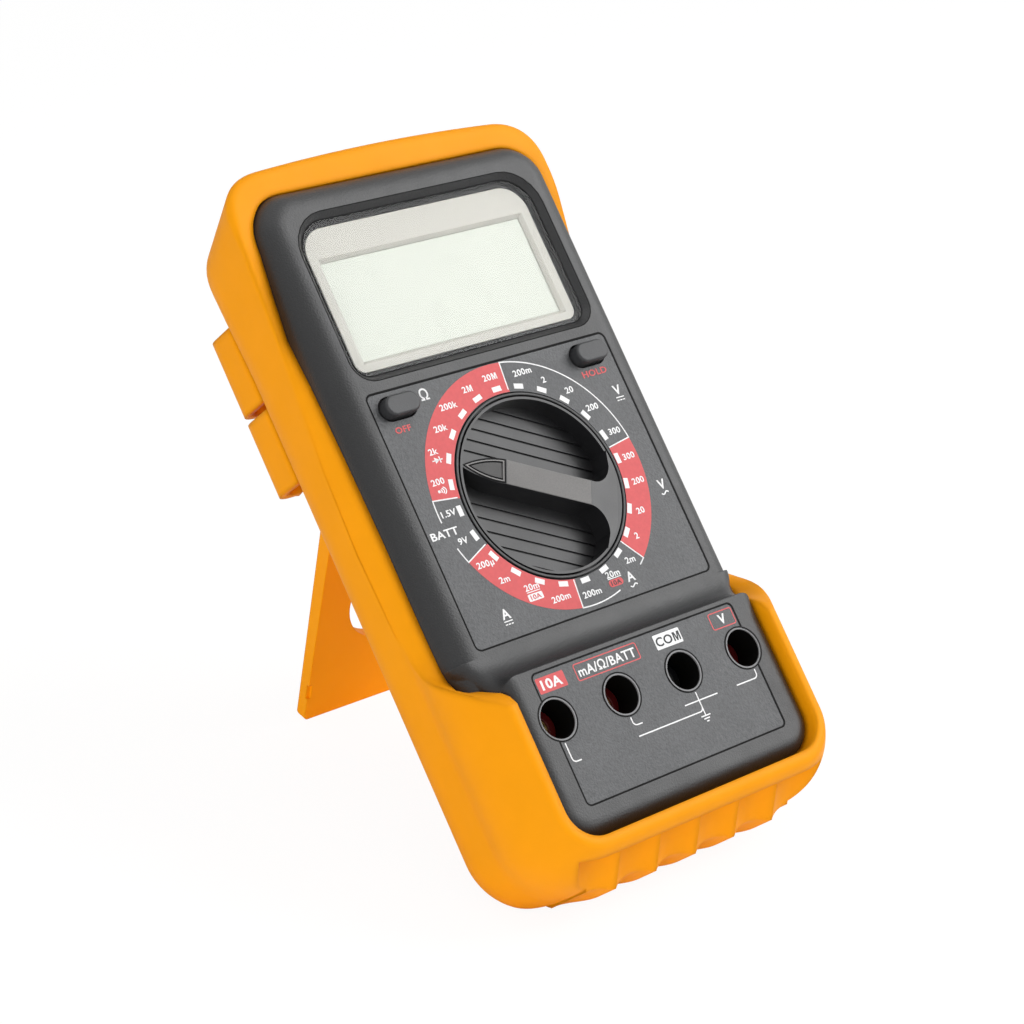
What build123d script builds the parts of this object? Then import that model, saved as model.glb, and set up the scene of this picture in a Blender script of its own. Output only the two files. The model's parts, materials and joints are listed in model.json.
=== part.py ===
from build123d import *
import math
import os

os.makedirs("parts", exist_ok=True)

# ----------------------------------------------------------------------------
# A handheld digital multimeter in a rubber boot, standing on its tilt stand.
# All shapes are drawn in the meter's own frame, in millimetres: X across the
# face, Y up the face, Z out of the face, with the origin at the middle of the
# dial.  The last section leans everything back and sets it on the ground.
# ----------------------------------------------------------------------------

# ---- driving sizes ---------------------------------------------------------
FIT = 0.05                      # gap between the case and the boot around it
SKIN = 2.2                      # wall of the moulded case
CASE_HALF = 42.4                # half width of the case
CASE_TOP = 82.6                 # upper end of the case
CASE_BOTTOM = -82.5             # lower end of the case
CASE_CORNER = 10.0              # corner radius of the case seen from the front
CASE_EDGE = 6.0                 # rounding of the front edge
PARTING = -11.0                 # where the two halves of the case meet
CASE_BACK = -29.45              # back face of the case
JACK_HALF = 38.3                # half width of the raised socket panel
JACK_FACE = 7.1                 # height of the socket panel over the dial face
JACK_TOP = -39.6                # crisp upper edge of the socket panel
JACK_BOTTOM = -78.6             # lower edge of the socket panel
COVE = JACK_FACE                # radius of the hollow that climbs to the panel

DIAL_HOLE = 22.05               # opening for the knob
RING_OUT = 22.65                # thin ring of the case around the knob
SHEET_HOLE = 23.0               # opening of the printed sheet around that ring
KNOB_R = 21.6                   # visible knob
KNOB_REACH = 21.0               # finger pockets reach out to here, inside a thin rim
KNOB_FLANGE = 23.6              # hidden flange that keeps the knob in
KNOB_RIM = 0.15                 # top of the rim
KNOB_BAR = 1.9                  # top of the grip bar
KNOB_BAR_HALF = 3.05            # half width of the grip bar
KNOB_FLOOR = -5.3               # floor of the two finger pockets, at the middle
KNOB_SLOPE = 0.02               # the floor falls by this much per length, away from the pointer
KNOB_BACK = -6.6
KNOB_ANGLE = 152.5              # where the pointer stands, from +X
POSITIONS = 24                  # switch positions around the dial

BOARD_FRONT = -7.9
BOARD_THICK = 1.6
BOARD_BACK = BOARD_FRONT - BOARD_THICK

JACK_PITCH = 19.0               # standard spacing of 4 mm safety sockets
JACK_ROW = -51.7
JACK_XS = [(i - 1.5) * JACK_PITCH for i in range(4)]
JACK_NAMES = ["10a", "ma", "com", "v"]
JACK_WELL = 4.75                # radius of the well that takes a shrouded plug
JACK_SEAT = -1.2                # top of the socket inside the well
SLEEVE_BORE = 2.03              # takes a 4 mm plug
SLEEVE_OUT = 2.8
SLEEVE_END = -17.0

LENS_HALF = 34.2
LENS_LOW = 35.2
LENS_HIGH = 73.5
LENS_TOP = -1.4
LENS_THICK = 1.5
LENS_CORNERS = (4.0, 8.0)       # corner radii of the lens, lower and upper
LEDGE = 1.2                     # width of the ledge under the edge of the lens
LEDGE_BACK = -4.0
VIEW_HALF = 30.4                # clear window over the display
VIEW_LOW = 38.5
VIEW_HIGH = 64.9

BUTTON_X = 28.5
BUTTON_Y = 26.5
BUTTON_LONG = 9.5
BUTTON_WIDE = 5.0
BUTTON_TOP = 2.7
BUTTON_BACK = -3.6              # flange of the button, where it meets its switch
PLUNGER_R = 1.7
SWITCH_TOP = -5.6

LABEL_SINK = 0.4                # depth of the beds for the printed panels
LABEL_THICK = 0.3
DIAL_LABEL = (35.8, -31.35, 30.65)
JACK_LABEL = (30.5, -71.8, -40.8)

BOOT_HALF = 44.8                # half width of the boot along the grip
BOOT_WIDE = 46.6                # half width around the display end
BOOT_TOP = 90.8
BOOT_BOTTOM = -87.7
BOOT_BACK = -32.0
BOOT_CORNER = 16.0              # corners of the socket end seen from the front
BOOT_EDGE = 12.0                # rounding of the boot's back edges
BOOT_HEEL = 18.0                # larger rounding where the boot meets the ground
SOLE = 2.2                      # how far the fluted pad stands out
SOLE_HALF = 31.5
SOLE_BEND = -1.0                # above this the pad slopes back to the lip
BOOT_SLANT = 11.0               # how far the upper end leans in towards the back
NOSE_START = -23.0              # the boot begins to widen here
NOSE_HALF = 46.8                # widest half width of the socket end
WAIST_Z = -14.0                 # the socket end takes its own form in front of this
LIP_FACE = 9.2                  # front of the lip around the socket panel
LIP_HALF = 40.4
TOP_RIM = -4.0                  # front face of the boot around the display end

HINGE_Y = 31.0
HINGE_Z = -36.2
STAND_HALF = 21.5
STAND_LEN = 80.0
STAND_OPEN = 51.4               # degrees between the deployed stand and the back
STAND_TOP_THICK = 4.7
STAND_FOOT_THICK = 3.1
PIN_R = 1.5
PIN_CLEAR = 0.05

CLIP_X = 38.8                   # middle of the probe clips
CLIPS = [(43.3, 62.3), (22.8, 41.2)]
FLUTE_PITCH = 12.2              # thumb flutes across the socket end
FLUTE_R = 10.0

BATTERY_Y = 6.0                 # nine volt block battery, lying across the meter
BATTERY_HALF = 24.25
BATTERY_HALF_WIDE = 13.25
BATTERY_TALL = 17.5
BATTERY_BACK = CASE_BACK + 1.4
STUD_SIZES = [(6.35, 2.9), (-6.35, 3.9)]    # (offset from the middle, radius) of the studs
COVER_HALF = 27.5
COVER_LOW = BATTERY_Y - 21.0
COVER_HIGH = BATTERY_Y + 17.0
COVER_SCREW_Y = COVER_LOW + 3.2

CASE_SCREWS = [(x, y) for x in (-36.4, 36.4) for y in (-70.5, 69.0)]
BOARD_SCREWS = [(x, y) for x in (-31.5, 31.5) for y in (-27.0, 17.0)]
FUSES = [(-62.0, 20.0, 2.6), (-71.0, 30.0, 3.2)]    # place, length and radius
LEAD_R = 0.6                    # insulated battery lead


# ---- small helpers ---------------------------------------------------------
def box(x0, x1, y0, y1, z0, z1):
    """A block between two corners."""
    middle = Pos((x0 + x1) / 2, (y0 + y1) / 2, (z0 + z1) / 2)
    return middle * Box(x1 - x0, y1 - y0, z1 - z0)


def rod(x, y, z0, z1, radius):
    """A round bar along Z."""
    return Pos(x, y, (z0 + z1) / 2) * Cylinder(radius, z1 - z0)


def panel(half, low, high, corner, z0, z1, taper=0):
    """A plate with rounded corners, centred across the meter."""
    outline = Pos(0, (low + high) / 2, z0) * RectangleRounded(2 * half, high - low, corner)
    return extrude(outline, amount=z1 - z0, taper=taper)


def lens_outline(gap):
    """Outline of the display lens grown by a gap, with larger corners at the top."""
    tall = LENS_HIGH - LENS_LOW + 2 * gap
    flat = Pos(0, (LENS_LOW + LENS_HIGH) / 2) * Rectangle(2 * (LENS_HALF + gap), tall)
    flat = fillet(flat.vertices().group_by(Axis.Y)[0], LENS_CORNERS[0] + gap)
    return fillet(flat.vertices().group_by(Axis.Y)[-1], LENS_CORNERS[1] + gap)


def lens_plate(gap, z0, z1):
    """A plate in the outline of the display lens grown by a gap."""
    return extrude(Pos(0, 0, z0) * lens_outline(gap), amount=z1 - z0)


def side_prism(points, half):
    """A closed outline of (y, z) points carried across the meter."""
    face = Plane.YZ * Polygon(*points, align=None)
    return extrude(face, amount=half, both=True)


def panel_outline(half, low, high, corner):
    """Flat outline with rounded corners, centred across the meter."""
    return Pos(0, (low + high) / 2, 0) * RectangleRounded(2 * half, high - low, corner)


def cross_rod(x0, x1, y, z, radius):
    """A round bar across the meter."""
    return Pos((x0 + x1) / 2, y, z) * Rot(0, 90, 0) * Cylinder(radius, x1 - x0)


def slot_plate(x, y, long, wide, z0, z1):
    """A plate with half-round ends, long side across the meter."""
    face = Pos(x, y, z0) * SlotOverall(long, wide)
    return extrude(face, amount=z1 - z0)


def cord(points, radius):
    """A round cord along straight runs joined by tangent arcs.  Each arc takes
    0.45 of the shorter run beside its corner."""
    corners = [Vector(*p) for p in points]
    runs = [b - a for a, b in zip(corners, corners[1:])]
    radii = []
    for before, after in zip(runs, runs[1:]):
        turn = math.radians(before.get_angle(after))
        radii.append(0.45 * min(before.length, after.length) / math.tan(turn / 2))
    route = FilletPolyline(*points, radius=radii)
    section = Plane(origin=route @ 0, z_dir=route % 0) * Circle(radius)
    tube = sweep(section, path=route)
    print("cord radii", [round(r, 2) for r in radii], "volume ratio",
          round(tube.volume / (math.pi * radius ** 2 * route.length), 4))
    return tube


# ---- the opening the raised panel stands in --------------------------------
def waist(gap):
    """Front outline of the raised panel: full width at the dial, waisted in an
    S-curve to the socket panel, with rounded lower corners."""
    wide = CASE_HALF + gap
    slim = JACK_HALF + gap
    low = JACK_BOTTOM - gap
    corner = 8.0
    start = -32.5
    end = -44.5
    with BuildSketch() as sketch:
        with BuildLine():
            for side in (1, -1):
                Spline([(side * wide, start), (side * (wide - 2.0), -37.4),
                        (side * (slim + 0.35), -41.4), (side * slim, end)],
                       tangents=[(0, -1), (0, -1)])
                Line((side * slim, end), (side * slim, low + corner))
                CenterArc((side * (slim - corner), low + corner), corner,
                          -90 if side > 0 else 180, 90)
            Line((corner - slim, low), (slim - corner, low))
            Line((wide, start), (-wide, start))
        make_face()
    return sketch.sketch


# ---- the moulded case ------------------------------------------------------
def case_block(gap, z_back):
    """Outer body of the case below the dial face, with its front edge rounded."""
    solid = panel(CASE_HALF + gap, CASE_BOTTOM - gap, CASE_TOP + gap,
                  CASE_CORNER + gap, z_back, gap)
    front = solid.edges().group_by(Axis.Z)[-1]
    solid = fillet(front, CASE_EDGE + gap)
    back = solid.edges().group_by(Axis.Z)[0]
    return fillet(back, CASE_CORNER - 1 + gap)


def raised_panel():
    """Cove and socket panel: a side profile cut to the waisted outline."""
    with BuildSketch(Plane.YZ) as sketch:
        with BuildLine():
            Line((-32.5, -8), (-32.5, 0))
            CenterArc((JACK_TOP + COVE, COVE), COVE, 180, 90)
            Line((JACK_TOP, COVE), (JACK_BOTTOM - 5, JACK_FACE))
            Line((JACK_BOTTOM - 5, JACK_FACE), (JACK_BOTTOM - 5, -8))
            Line((JACK_BOTTOM - 5, -8), (-32.5, -8))
        make_face()
    profile = extrude(sketch.sketch, amount=60, both=True)
    column = extrude(Pos(0, 0, -8) * waist(0), amount=30)
    return profile & column


def case_outer():
    """The full outside of the closed case."""
    raised = raised_panel()
    rim = [e for e in raised.edges() if abs(e.center().Z - JACK_FACE) < 0.01 and e.center().Y < -41]
    slopes = [e for e in raised.edges() if 0.5 < e.center().Z < 6.5 and abs(e.center().X) > 39
              and -41 < e.center().Y < -34 and e.length > 8]
    raised = fillet(rim + slopes, 4.0)
    return case_block(0, CASE_BACK) + raised


def case_hollow():
    """The room inside the case: stepped in under the rounded front edge."""
    deep = panel(CASE_HALF - SKIN, CASE_BOTTOM + SKIN, CASE_TOP - SKIN, CASE_CORNER - SKIN,
                 CASE_BACK + SKIN, -CASE_EDGE)
    back = deep.edges().group_by(Axis.Z)[0]
    deep = fillet(back, CASE_CORNER - SKIN - 0.8)
    shallow = panel(CASE_HALF - 4.6, CASE_BOTTOM + 4.6, CASE_TOP - 4.6, 5.4, -CASE_EDGE - 1, -SKIN)
    under_panel = box(SKIN - JACK_HALF + 1, JACK_HALF - SKIN - 1, JACK_BOTTOM + SKIN + 1,
                      JACK_TOP - SKIN, -SKIN - 1, JACK_FACE - SKIN)
    return deep + shallow + under_panel


def frame_slope():
    """The sloping border that leads from the face down to the display lens."""
    top = Pos(0, 0, 0.001) * lens_outline(DIAL_LABEL[0] - LENS_HALF)
    low = Pos(0, 0, LENS_TOP) * lens_outline(0.15)
    return loft([low, top])


def make_front_case(outer, hollow):
    """Front half of the case with its windows, wells and bosses."""
    front = outer & box(-60, 60, -100, 100, PARTING + 0.05, 20)
    shell = front - hollow
    for x, y in CASE_SCREWS:
        shell += rod(x, y, PARTING + 0.05, -SKIN - 0.5, 3.0)
        shell -= rod(x, y, PARTING - 1, -4.0, 1.1)
    for x, y in BOARD_SCREWS:
        shell += rod(x, y, BOARD_FRONT, -SKIN + 0.3, 2.4)
        shell -= rod(x, y, BOARD_FRONT - 1, -3.4, 1.05)
    for x in JACK_XS:
        shell += rod(x, JACK_ROW, BOARD_FRONT, JACK_FACE - 1, JACK_WELL + 1.3)
    # a ring under the face carries the edge of the lens
    shell += lens_plate(1.8, LEDGE_BACK, -SKIN + 0.3)
    guide = rod(0, 0, KNOB_BACK + 0.1, -SKIN + 0.2, KNOB_FLANGE + 1.6)
    guide -= rod(0, 0, KNOB_BACK - 1, -SKIN + 1, KNOB_FLANGE + 0.06)
    notch = Pos(KNOB_FLANGE, 0, KNOB_BACK + 1.6) * Rot(0, 0, 45) * Box(1.3, 1.3, 3.4)
    ticks = [Rot(0, 0, KNOB_ANGLE + i * 360 / POSITIONS) * notch for i in range(POSITIONS)]
    shell += guide - ticks
    for x in JACK_XS:
        shell -= rod(x, JACK_ROW, BOARD_FRONT - 1, JACK_FACE + 1, JACK_WELL)
    # knob opening with its thin ring, and a groove around that
    shell += rod(0, 0, -1, KNOB_RIM, RING_OUT)
    shell -= rod(0, 0, -0.9, 1, SHEET_HOLE) - rod(0, 0, -1, 2, RING_OUT)
    shell -= rod(0, 0, -SKIN - 1, 2, DIAL_HOLE)
    # bed of the display lens, with a sloping frame above it
    shell -= lens_plate(0.15, LENS_TOP - LENS_THICK, 1)
    shell -= frame_slope()
    shell -= lens_plate(-LEDGE, LEDGE_BACK - 1, 0)
    # beds for the two printed panels
    half, low, high = DIAL_LABEL
    shell -= panel(half, low, high, 1.6, -LABEL_SINK, 1) - rod(0, 0, -1, 2, RING_OUT)
    half, low, high = JACK_LABEL
    shell -= panel(half, low, high, 1.4, JACK_FACE - LABEL_SINK, JACK_FACE + 1)
    for side in (1, -1):
        shell -= slot_plate(side * BUTTON_X, BUTTON_Y, BUTTON_LONG + 0.8, BUTTON_WIDE + 0.8, -SKIN - 1, 1)
    return shell


def make_rear_case(outer, hollow):
    """Back half of the case with the battery room and screw sockets."""
    rear = outer & box(-60, 60, -100, 100, -60, PARTING - 0.05)
    shell = rear - hollow
    for x, y in CASE_SCREWS:
        shell += rod(x, y, CASE_BACK + 1, PARTING - 0.1, 3.0) & case_block(-0.4, CASE_BACK + 0.4)
        shell -= rod(x, y, CASE_BACK - 1, 0, 1.6)
        shell -= rod(x, y, CASE_BACK - 1, CASE_BACK + 7.0, 2.9)
    # battery room: a low wall around the battery and the opening behind it
    x, y = BATTERY_HALF + 0.7, BATTERY_HALF_WIDE + 0.7
    wall = box(-x - 1.4, x + 1.4, BATTERY_Y - y - 1.4, BATTERY_Y + y + 1.4, CASE_BACK + 1, PARTING - 2)
    shell += wall - box(-x, x, BATTERY_Y - y, BATTERY_Y + y, CASE_BACK - 1, PARTING)
    shell -= box(-x, x, BATTERY_Y - y, BATTERY_Y + y, CASE_BACK - 1, CASE_BACK + 3)
    shell -= box(x - 1, x + 3, BATTERY_Y - 4.5, BATTERY_Y + 4.5, PARTING - 10, PARTING)
    shell -= panel(COVER_HALF + 0.2, COVER_LOW - 0.2, COVER_HIGH + 0.2, 2.2, CASE_BACK - 1, CASE_BACK + 1.3)
    shell += rod(0, COVER_SCREW_Y, CASE_BACK + 1.3, CASE_BACK + 7.5, 2.6)
    shell -= rod(0, COVER_SCREW_Y, CASE_BACK, CASE_BACK + 1.9, 1.65)
    shell -= rod(0, COVER_SCREW_Y, CASE_BACK, CASE_BACK + 6.5, 1.05)
    return shell


def make_battery_cover():
    """Cover plate over the battery room, let in flush with the back."""
    plate = panel(COVER_HALF, COVER_LOW, COVER_HIGH, 2.0, CASE_BACK, CASE_BACK + 1.2)
    plate -= rod(0, COVER_SCREW_Y, CASE_BACK - 1, CASE_BACK + 3, 1.6)
    grip = [box(-9, 9, COVER_HIGH - 4 - 2.2 * i, COVER_HIGH - 3 - 2.2 * i, CASE_BACK - 1, CASE_BACK + 0.4)
            for i in range(4)]
    return plate - grip


def screw(x, y, z_head, length, head_r, shank_r):
    """Cross-head screw whose head faces the back of the meter."""
    head = rod(x, y, z_head, z_head + 1.8, head_r)
    shank = rod(x, y, z_head + 1.7, z_head + length, shank_r)
    cross = box(x - head_r * 0.6, x + head_r * 0.6, y - 0.3, y + 0.3, z_head - 1, z_head + 0.9)
    cross += box(x - 0.3, x + 0.3, y - head_r * 0.6, y + head_r * 0.6, z_head - 1, z_head + 0.9)
    return head + shank - cross


# ---- the rubber boot -------------------------------------------------------
# Stations along the boot: place along the meter, then the inner and outer edge
# of the front rim as (across, out of the face).  The rim is flat around the
# display end, drops beside the window, turns to face sideways along the grip
# and climbs beside the cove to the lip of the socket panel.
RIM = [
    (79.5, 41.0, -3.9, 46.9, -3.9),
    (70.0, 42.0, -5.2, 46.1, -5.1),
    (60.0, 42.0, -7.2, 45.3, -6.8),
    (50.0, 42.0, -8.9, 44.9, -8.7),
    (38.0, 42.2, -7.5, 44.8, -10.8),
    (20.0, 42.2, -6.3, 44.7, -13.2),
    (0.0, 42.3, -5.8, 44.6, -14.3),
    (-20.0, 42.3, -5.9, 44.7, -13.4),
    (-28.0, 42.3, -6.0, 45.3, -11.0),
    (-32.0, 42.3, -6.0, 46.3, -8.0),
    (-34.5, 42.2, -5.6, 46.6, -4.6),
    (-37.0, 41.9, -4.4, 46.1, -0.6),
    (-38.7, 41.3, -1.9, 45.4, 1.8),
    (-40.3, 40.3, 1.6, 44.6, 3.7),
    (-42.0, 39.4, 5.6, 43.5, 5.3),
    (-43.6, 38.9, 7.8, 42.2, 7.2),
    (-45.7, 38.6, LIP_FACE + 0.05, 40.6, LIP_FACE + 0.05),
]


def boot_plan(top, wide, half):
    """Outline of the boot at one depth: rounded upper end, a little wider around
    the display than along the grip."""
    shoulder = top - 13.0
    with BuildSketch() as sketch:
        with BuildLine():
            ThreePointArc((-34.5, top - 0.8), (0, top + 0.3), (34.5, top - 0.8))
            for side in (1, -1):
                Spline([(side * 34.5, top - 0.8), (side * (wide - 3.2), top - 4.2), (side * wide, shoulder)],
                       tangents=[(side, -0.06), (0, -1)])
                Spline([(side * wide, shoulder), (side * (wide + half) / 2, (shoulder + 44.0) / 2),
                        (side * half, 44.0)], tangents=[(0, -1), (0, -1)])
                Line((side * half, 44.0), (side * half, BOOT_BOTTOM + BOOT_CORNER))
                CenterArc((side * (half - BOOT_CORNER), BOOT_BOTTOM + BOOT_CORNER), BOOT_CORNER,
                          -90 if side > 0 else 180, 90)
            Line((BOOT_CORNER - half, BOOT_BOTTOM), (half - BOOT_CORNER, BOOT_BOTTOM))
        make_face()
    return sketch.sketch


def boot_sole():
    """Raised pad across the socket end, which the thumb flutes cut.  It runs out on the heel."""
    middle = (BOOT_BOTTOM + BOOT_HEEL, BOOT_BACK + BOOT_HEEL)
    end = math.radians(34)
    low = (middle[0] - BOOT_HEEL * math.cos(end), middle[1] - BOOT_HEEL * math.sin(end))
    straight_to = middle[1] + 3
    with BuildSketch(Plane.YZ) as sketch:
        with BuildLine():
            TangentArc((BOOT_BOTTOM - SOLE, straight_to), low, tangent=(0, -1))
            Polyline(low, middle, (BOOT_BOTTOM + 5, middle[1]), (BOOT_BOTTOM + 5, SOLE_BEND + SOLE + 3.4),
                     (BOOT_BOTTOM + 3.4, SOLE_BEND + SOLE + 3.4), (BOOT_BOTTOM - SOLE, SOLE_BEND),
                     (BOOT_BOTTOM - SOLE, straight_to))
        make_face()
    return extrude(sketch.sketch, amount=SOLE_HALF, both=True)


def thumb_flute(x):
    """One scoop across the pad: straight down the end, turned back along its upper slope."""
    depth = FLUTE_R - math.sqrt(FLUTE_R ** 2 - (FLUTE_PITCH / 2 - 0.2) ** 2)
    bend = Pos(x, BOOT_BOTTOM - SOLE + depth - FLUTE_R, SOLE_BEND)
    straight = bend * Pos(0, 0, -15) * Cylinder(FLUTE_R, 30)
    sloped = bend * Rot(-45, 0, 0) * Pos(0, 0, 8) * Cylinder(FLUTE_R, 16)
    return [straight, sloped]


def heel_cut():
    """Everything outside the large rounding between the socket end and the back."""
    middle = (BOOT_BOTTOM + BOOT_HEEL, BOOT_BACK + BOOT_HEEL)
    with BuildSketch(Plane.YZ) as sketch:
        with BuildLine():
            CenterArc(middle, BOOT_HEEL, 180, 90)
            Polyline((middle[0], BOOT_BACK), (middle[0], BOOT_BACK - 9), (BOOT_BOTTOM - 9, BOOT_BACK - 9),
                     (BOOT_BOTTOM - 9, middle[1]), (BOOT_BOTTOM, middle[1]))
        make_face()
    return extrude(sketch.sketch, amount=60, both=True)


def nose_plan():
    """Plan of the socket end, which widens smoothly from the grip."""
    with BuildSketch() as sketch:
        with BuildLine():
            for side in (1, -1):
                Spline([(side * BOOT_HALF, NOSE_START), (side * NOSE_HALF, NOSE_START - 13)],
                       tangents=[(0, -1), (0, -1)])
                Line((side * NOSE_HALF, NOSE_START - 13), (side * NOSE_HALF, -100))
            Line((-NOSE_HALF, -100), (NOSE_HALF, -100))
            Line((-BOOT_HALF, NOSE_START), (BOOT_HALF, NOSE_START))
        make_face()
    return sketch.sketch


def boot_nose():
    """Socket end in front of the waist: it swells, then narrows to a rounded lip."""
    rings = []
    for z, half, rise, corner in ((WAIST_Z, BOOT_HALF, 0, BOOT_CORNER), (-8.0, 46.2, 0.05, 16.4),
                                  (-4.5, 46.6, 0.3, 16.3), (0.0, 46.0, 1.2, 15.4), (3.4, 44.8, 2.6, 14.4),
                                  (6.0, 43.2, 4.2, 13.0), (LIP_FACE, LIP_HALF, 6.6, 9.8)):
        low = BOOT_BOTTOM + rise
        high = 2 * NOSE_START - low
        rings.append(Pos(0, NOSE_START, z) * RectangleRounded(2 * half, high - low, corner))
    nose = loft(rings)
    nose = fillet(nose.edges().group_by(Axis.Z)[-1], 1.6)
    return nose & extrude(Pos(0, 0, WAIST_Z) * nose_plan(), amount=LIP_FACE + 1 - WAIST_Z)


def boot_mass():
    """The boot before it is hollowed out.  Its upper end leans in towards the back."""
    front = Pos(0, 0, TOP_RIM) * boot_plan(BOOT_TOP, BOOT_WIDE, BOOT_HALF)
    back = Pos(0, 0, BOOT_BACK) * boot_plan(BOOT_TOP - BOOT_SLANT, BOOT_WIDE - 1.4, BOOT_HALF)
    body = loft([back, front], ruled=True)
    body = fillet(body.edges().group_by(Axis.Z)[-1], 1.5)
    body = fillet(body.edges().group_by(Axis.Z)[0], BOOT_EDGE)
    body -= heel_cut()
    body -= box(-60, 60, -100, NOSE_START, WAIST_Z, 5)
    return body + boot_nose() + boot_sole()


def rim_cut():
    """Everything in front of the rim on the right-hand side."""
    sections = []
    for y, x_in, z_in, x_out, z_out in RIM:
        plane = Plane(origin=(0, y, 0), x_dir=(1, 0, 0), z_dir=(0, -1, 0))
        sections.append(plane * Polygon((30, 16), (30, z_in), (x_in, z_in), (x_out, z_out),
                                        (54, z_out), (54, 16), align=None))
    return loft(sections, ruled=True)


def probe_clip(y0, y1):
    """One C-shaped spring clip for a test probe, on the back at the right edge."""
    with BuildSketch(Plane(origin=(0, y1, 0), x_dir=(1, 0, 0), z_dir=(0, -1, 0))) as sketch:
        with BuildLine():
            Line((CLIP_X + 3.4, BOOT_BACK + 7), (CLIP_X + 3.4, BOOT_BACK - 3.5))
            CenterArc((CLIP_X - 2.6, BOOT_BACK - 3.5), 6.0, 0, -100)
            tip_out = (CLIP_X - 2.6 + 6.0 * math.cos(math.radians(-100)),
                       BOOT_BACK - 3.5 + 6.0 * math.sin(math.radians(-100)))
            tip_in = (CLIP_X - 2.6 + 3.6 * math.cos(math.radians(-100)),
                      BOOT_BACK - 3.5 + 3.6 * math.sin(math.radians(-100)))
            Line(tip_out, (tip_out[0] - 1.6, tip_out[1] - 0.9))
            Line((tip_out[0] - 1.6, tip_out[1] - 0.9), (tip_in[0] - 1.2, tip_in[1] + 0.6))
            Line((tip_in[0] - 1.2, tip_in[1] + 0.6), tip_in)
            CenterArc((CLIP_X - 2.6, BOOT_BACK - 3.5), 3.6, -100, 100)
            Line((CLIP_X + 1.0, BOOT_BACK - 3.5), (CLIP_X + 1.0, BOOT_BACK + 7))
            Line((CLIP_X + 1.0, BOOT_BACK + 7), (CLIP_X + 3.4, BOOT_BACK + 7))
        make_face()
    return extrude(sketch.sketch, amount=y1 - y0)


def hinge_lug():
    """Ear on the back of the boot that takes one stub of the stand."""
    x0, x1 = STAND_HALF + 0.35, STAND_HALF + 4.8
    ear = Pos((x0 + x1) / 2, HINGE_Y, HINGE_Z) * Rot(0, 90, 0) * Cylinder(3.6, x1 - x0)
    ear += box(x0, x1, HINGE_Y - 3.6, HINGE_Y + 3.6, HINGE_Z, BOOT_BACK + 1)
    bore = Pos((x0 + x1) / 2 - 0.8, HINGE_Y, HINGE_Z) * Rot(0, 90, 0) * Cylinder(PIN_R + PIN_CLEAR, x1 - x0)
    return ear - bore


def make_boot():
    """Rubber boot: hollowed, rimmed and fluted, with hinge ears."""
    boot = boot_mass()
    cut = rim_cut()
    boot -= [cut, mirror(cut, about=Plane.YZ)]
    boot -= case_block(FIT, CASE_BACK - FIT)
    mouth = panel_outline(CASE_HALF + FIT + 0.02, CASE_BOTTOM, CASE_TOP + FIT + 0.02, CASE_CORNER + FIT)
    mouth = mouth & Pos(0, 67) * Rectangle(120, 200)
    boot -= extrude(Pos(0, 0, -10) * (mouth + waist(FIT + 0.02)), amount=40)
    # thumb flutes across the socket end
    for i in range(6):
        boot -= thumb_flute((i - 2.5) * FLUTE_PITCH)
    ear = hinge_lug()
    return boot + [ear, mirror(ear, about=Plane.YZ)]


def make_probe_clips(boot):
    """The two clips of the right-hand side and the two of the left-hand side,
    each seated on the rounded back of the boot."""
    room = case_block(FIT, CASE_BACK - FIT)
    right = [probe_clip(y0, y1) - boot - room for y0, y1 in CLIPS]
    return right, [mirror(clip, about=Plane.YZ) for clip in right]


# ---- the tilt stand --------------------------------------------------------
def make_stand():
    """Tilt stand, drawn folded flat along the back, then swung open."""
    top, foot = STAND_TOP_THICK / 2, STAND_FOOT_THICK / 2
    profile = [(0, top), (-STAND_LEN, foot), (-STAND_LEN, 0.9 - foot),
               (1.2 - STAND_LEN, -foot), (0, -top)]
    plate = side_prism(profile, STAND_HALF)
    plate &= Pos(0, 2, -10) * extrude(panel_outline(STAND_HALF, -STAND_LEN - 2, 10, 1.2), amount=20)
    plate += Rot(0, 90, 0) * Cylinder(2.9, 2 * STAND_HALF)
    plate += Rot(0, 90, 0) * Cylinder(PIN_R, 2 * (STAND_HALF + 3.2))
    plate -= rod(0, -48.5, -10, 10, 12.0)
    # ribbed hollow on the rear face, and a nick on each side near the foot
    for x in (-12.6, 0, 12.6):
        plate -= panel(5.4, -STAND_LEN + 4, -64.5, 1.0, -5, -0.6).translate((x, 0, 0))
    for side in (1, -1):
        plate -= box(side * STAND_HALF - 1.1, side * STAND_HALF + 1.1,
                     -STAND_LEN + 6.5, -STAND_LEN + 10.5, 0.9, 4)
    return Pos(0, HINGE_Y, HINGE_Z) * Rot(STAND_OPEN, 0, 0) * plate


# ---- the knob --------------------------------------------------------------
def finger_pocket():
    """Outline of one finger pocket, with X towards the pointer: it runs along the
    grip bar, out to the rim, and back around the solid crescent at the tail."""
    tip = (math.sqrt(KNOB_REACH ** 2 - 0.5 ** 2), 0.5)
    tail = (-17.0, math.sqrt(KNOB_REACH ** 2 - 17.0 ** 2))
    bend = 5.5
    turn = (-12.3, KNOB_BAR_HALF + bend)
    with BuildSketch() as sketch:
        with BuildLine():
            CenterArc(turn, bend, 180, 90)
            Line((turn[0], KNOB_BAR_HALF), (11.5, KNOB_BAR_HALF))
            Spline([(11.5, KNOB_BAR_HALF), (16.8, 2.15), tip], tangents=[(1, 0), (1, -0.6)])
            ThreePointArc(tip, (0, KNOB_REACH), tail)
            Line(tail, (turn[0] - bend, turn[1]))
        make_face()
    return sketch.sketch


def floor_height(x):
    """Height of the pocket floor, which falls gently away from the pointer."""
    return KNOB_FLOOR + KNOB_SLOPE * x


def across_knob(points):
    """A closed outline of (x, z) points carried across the knob."""
    return extrude(Plane.XZ * Polygon(*points, align=None), amount=30, both=True)


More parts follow.
